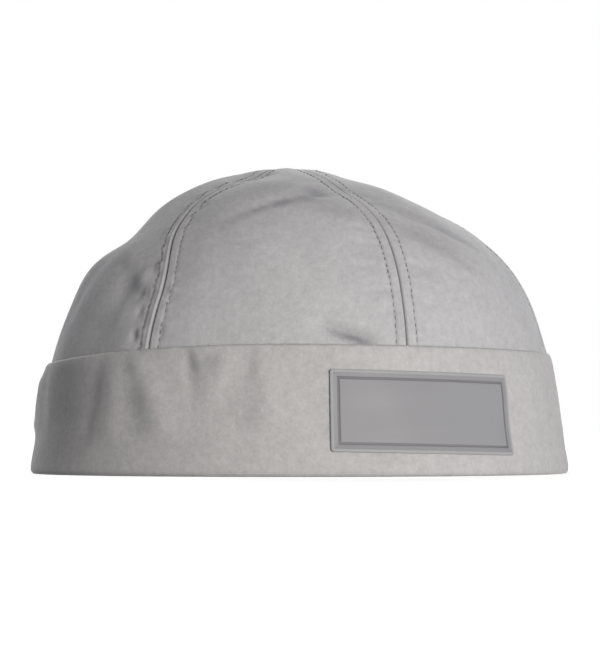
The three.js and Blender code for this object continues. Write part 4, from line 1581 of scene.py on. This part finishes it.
class RAINHAT_OT_studio(bpy.types.Operator):
    """Set up the camera, the soft lights and the pale floor"""

    bl_idname = "rainhat.studio"
    bl_label = "Studio"

    def execute(self, context):
        studio, finish = settings().studio, settings().finish
        scene = context.scene
        data = bpy.data.cameras.new("Camera")
        data.sensor_width = 36
        data.lens = studio.lens
        data.clip_start, data.clip_end = 0.01, 200
        camera = bpy.data.objects.new("Camera", data)
        scene.collection.objects.link(camera)
        scene.camera = camera
        drop = studio.aim_height - studio.camera_height
        level = (studio.camera_distance**2 - drop**2) ** 0.5
        azimuth = studio.camera_azimuth
        camera.location = (level * sin(azimuth), -level * cos(azimuth), studio.camera_height)
        aim = Vector((0, 0, studio.aim_height))
        camera.rotation_mode = "QUATERNION"
        camera.rotation_quaternion = (aim - camera.location).to_track_quat("-Z", "Y")

        sides = 96
        angles = [2 * pi * side / sides for side in range(sides)]
        radius = studio.floor_radius
        rim = [(radius * cos(angle), radius * sin(angle), 0) for angle in angles]
        mesh = bpy.data.meshes.new("studio_floor")
        mesh.from_pydata(rim, [], [list(range(sides))])
        floor = bpy.data.objects.new("studio_floor", mesh)
        scene.collection.objects.link(floor)
        top = named_material("Matt light table", floor_material, finish.floor, studio.table)
        mesh.materials.append(top)

        # The table shines through, so it throws no light back on the hat and keeps none from it
        floor.visible_diffuse = False
        floor.visible_shadow = False
        sun("key_light", 35, 2, studio.key, 26, (1.0, 0.99, 0.985))
        sun("fill_light", -55, 55, studio.fill, 60, (0.97, 0.99, 1.0))
        sun("side_light", 100, 3, studio.side, 50, (0.9, 0.98, 1.06))
        sun("rear_light", -168, 12, studio.rear, 50, (0.95, 0.98, 1.0))

        world = bpy.data.worlds.new("Studio")
        scene.world = world
        world.use_nodes = True
        tree = world.node_tree
        tree.nodes.clear()
        seen = add_node(tree, "ShaderNodeLightPath").outputs["Is Camera Ray"]
        # The room is darker overhead, as under the dark ceiling of a studio with light walls
        direction = add_node(tree, "ShaderNodeTexCoord").outputs["Generated"]
        upward = add_node(tree, "ShaderNodeSeparateXYZ", {"Vector": direction}).outputs["Z"]
        walls = add_node(
            tree,
            "ShaderNodeMapRange",
            {
                "Value": upward,
                "From Min": 0.1,
                "From Max": 0.9,
                "To Min": 1.25 * studio.ambient,
                "To Max": 0.02,
            },
        )
        even = add_node(
            tree,
            "ShaderNodeBackground",
            {"Color": (0.91, 0.94, 1.0, 1), "Strength": walls.outputs["Result"]},
        )
        white = add_node(tree, "ShaderNodeBackground", {"Color": (1, 1, 1, 1), "Strength": 1.0})
        mixed = add_node(
            tree,
            "ShaderNodeMixShader",
            {0: seen, 1: even.outputs["Background"], 2: white.outputs["Background"]},
        )
        add_node(tree, "ShaderNodeOutputWorld", {"Surface": mixed.outputs["Shader"]})
        scene.view_settings.view_transform = "Standard"
        return {"FINISHED"}


class RAINHAT_PT_sidebar(bpy.types.Panel):
    """The hat's operators and settings"""

    bl_idname = "RAINHAT_PT_sidebar"
    bl_label = "Rain hat"
    bl_space_type = "VIEW_3D"
    bl_region_type = "UI"
    bl_category = "Rain hat"

    def draw(self, context):
        layout = self.layout
        hat = context.scene.rain_hat
        for heading, operators, groups in (
            ("Crown", ("rainhat.crown", "rainhat.topstitching"), (hat.crown, hat.stitches)),
            ("Cuff", ("rainhat.cuff",), (hat.cuff,)),
            ("Lining", ("rainhat.lining", "rainhat.strip"), (hat.lining,)),
            ("Label", ("rainhat.label",), (hat.label,)),
            ("Studio", ("rainhat.studio",), (hat.studio, hat.finish)),
        ):
            box = layout.box()
            box.label(text=heading)
            for operator in operators:
                box.operator(operator)
            for group in groups:
                for name in group.__annotations__:
                    box.prop(group, name)


CLASSES = (
    CrownSettings,
    StitchSettings,
    CuffSettings,
    LiningSettings,
    LabelSettings,
    FinishSettings,
    StudioSettings,
    RainHatSettings,
    RAINHAT_OT_studio,
    RAINHAT_OT_crown,
    RAINHAT_OT_topstitching,
    RAINHAT_OT_cuff,
    RAINHAT_OT_lining,
    RAINHAT_OT_strip,
    RAINHAT_OT_label,
    RAINHAT_PT_sidebar,
)


def register():
    """Registers the add-on's classes and the scene's settings."""
    for cls in CLASSES:
        bpy.utils.register_class(cls)
    bpy.types.Scene.rain_hat = PointerProperty(type=RainHatSettings)


def unregister():
    """Takes back what register did."""
    del bpy.types.Scene.rain_hat
    for cls in reversed(CLASSES):
        bpy.utils.unregister_class(cls)


def main():
    """Builds the hat."""
    register()
    for operator in (
        bpy.ops.rainhat.studio,
        bpy.ops.rainhat.crown,
        bpy.ops.rainhat.topstitching,
        bpy.ops.rainhat.cuff,
        bpy.ops.rainhat.lining,
        bpy.ops.rainhat.strip,
        bpy.ops.rainhat.label,
    ):
        operator()


if __name__ == "__main__":
    main()
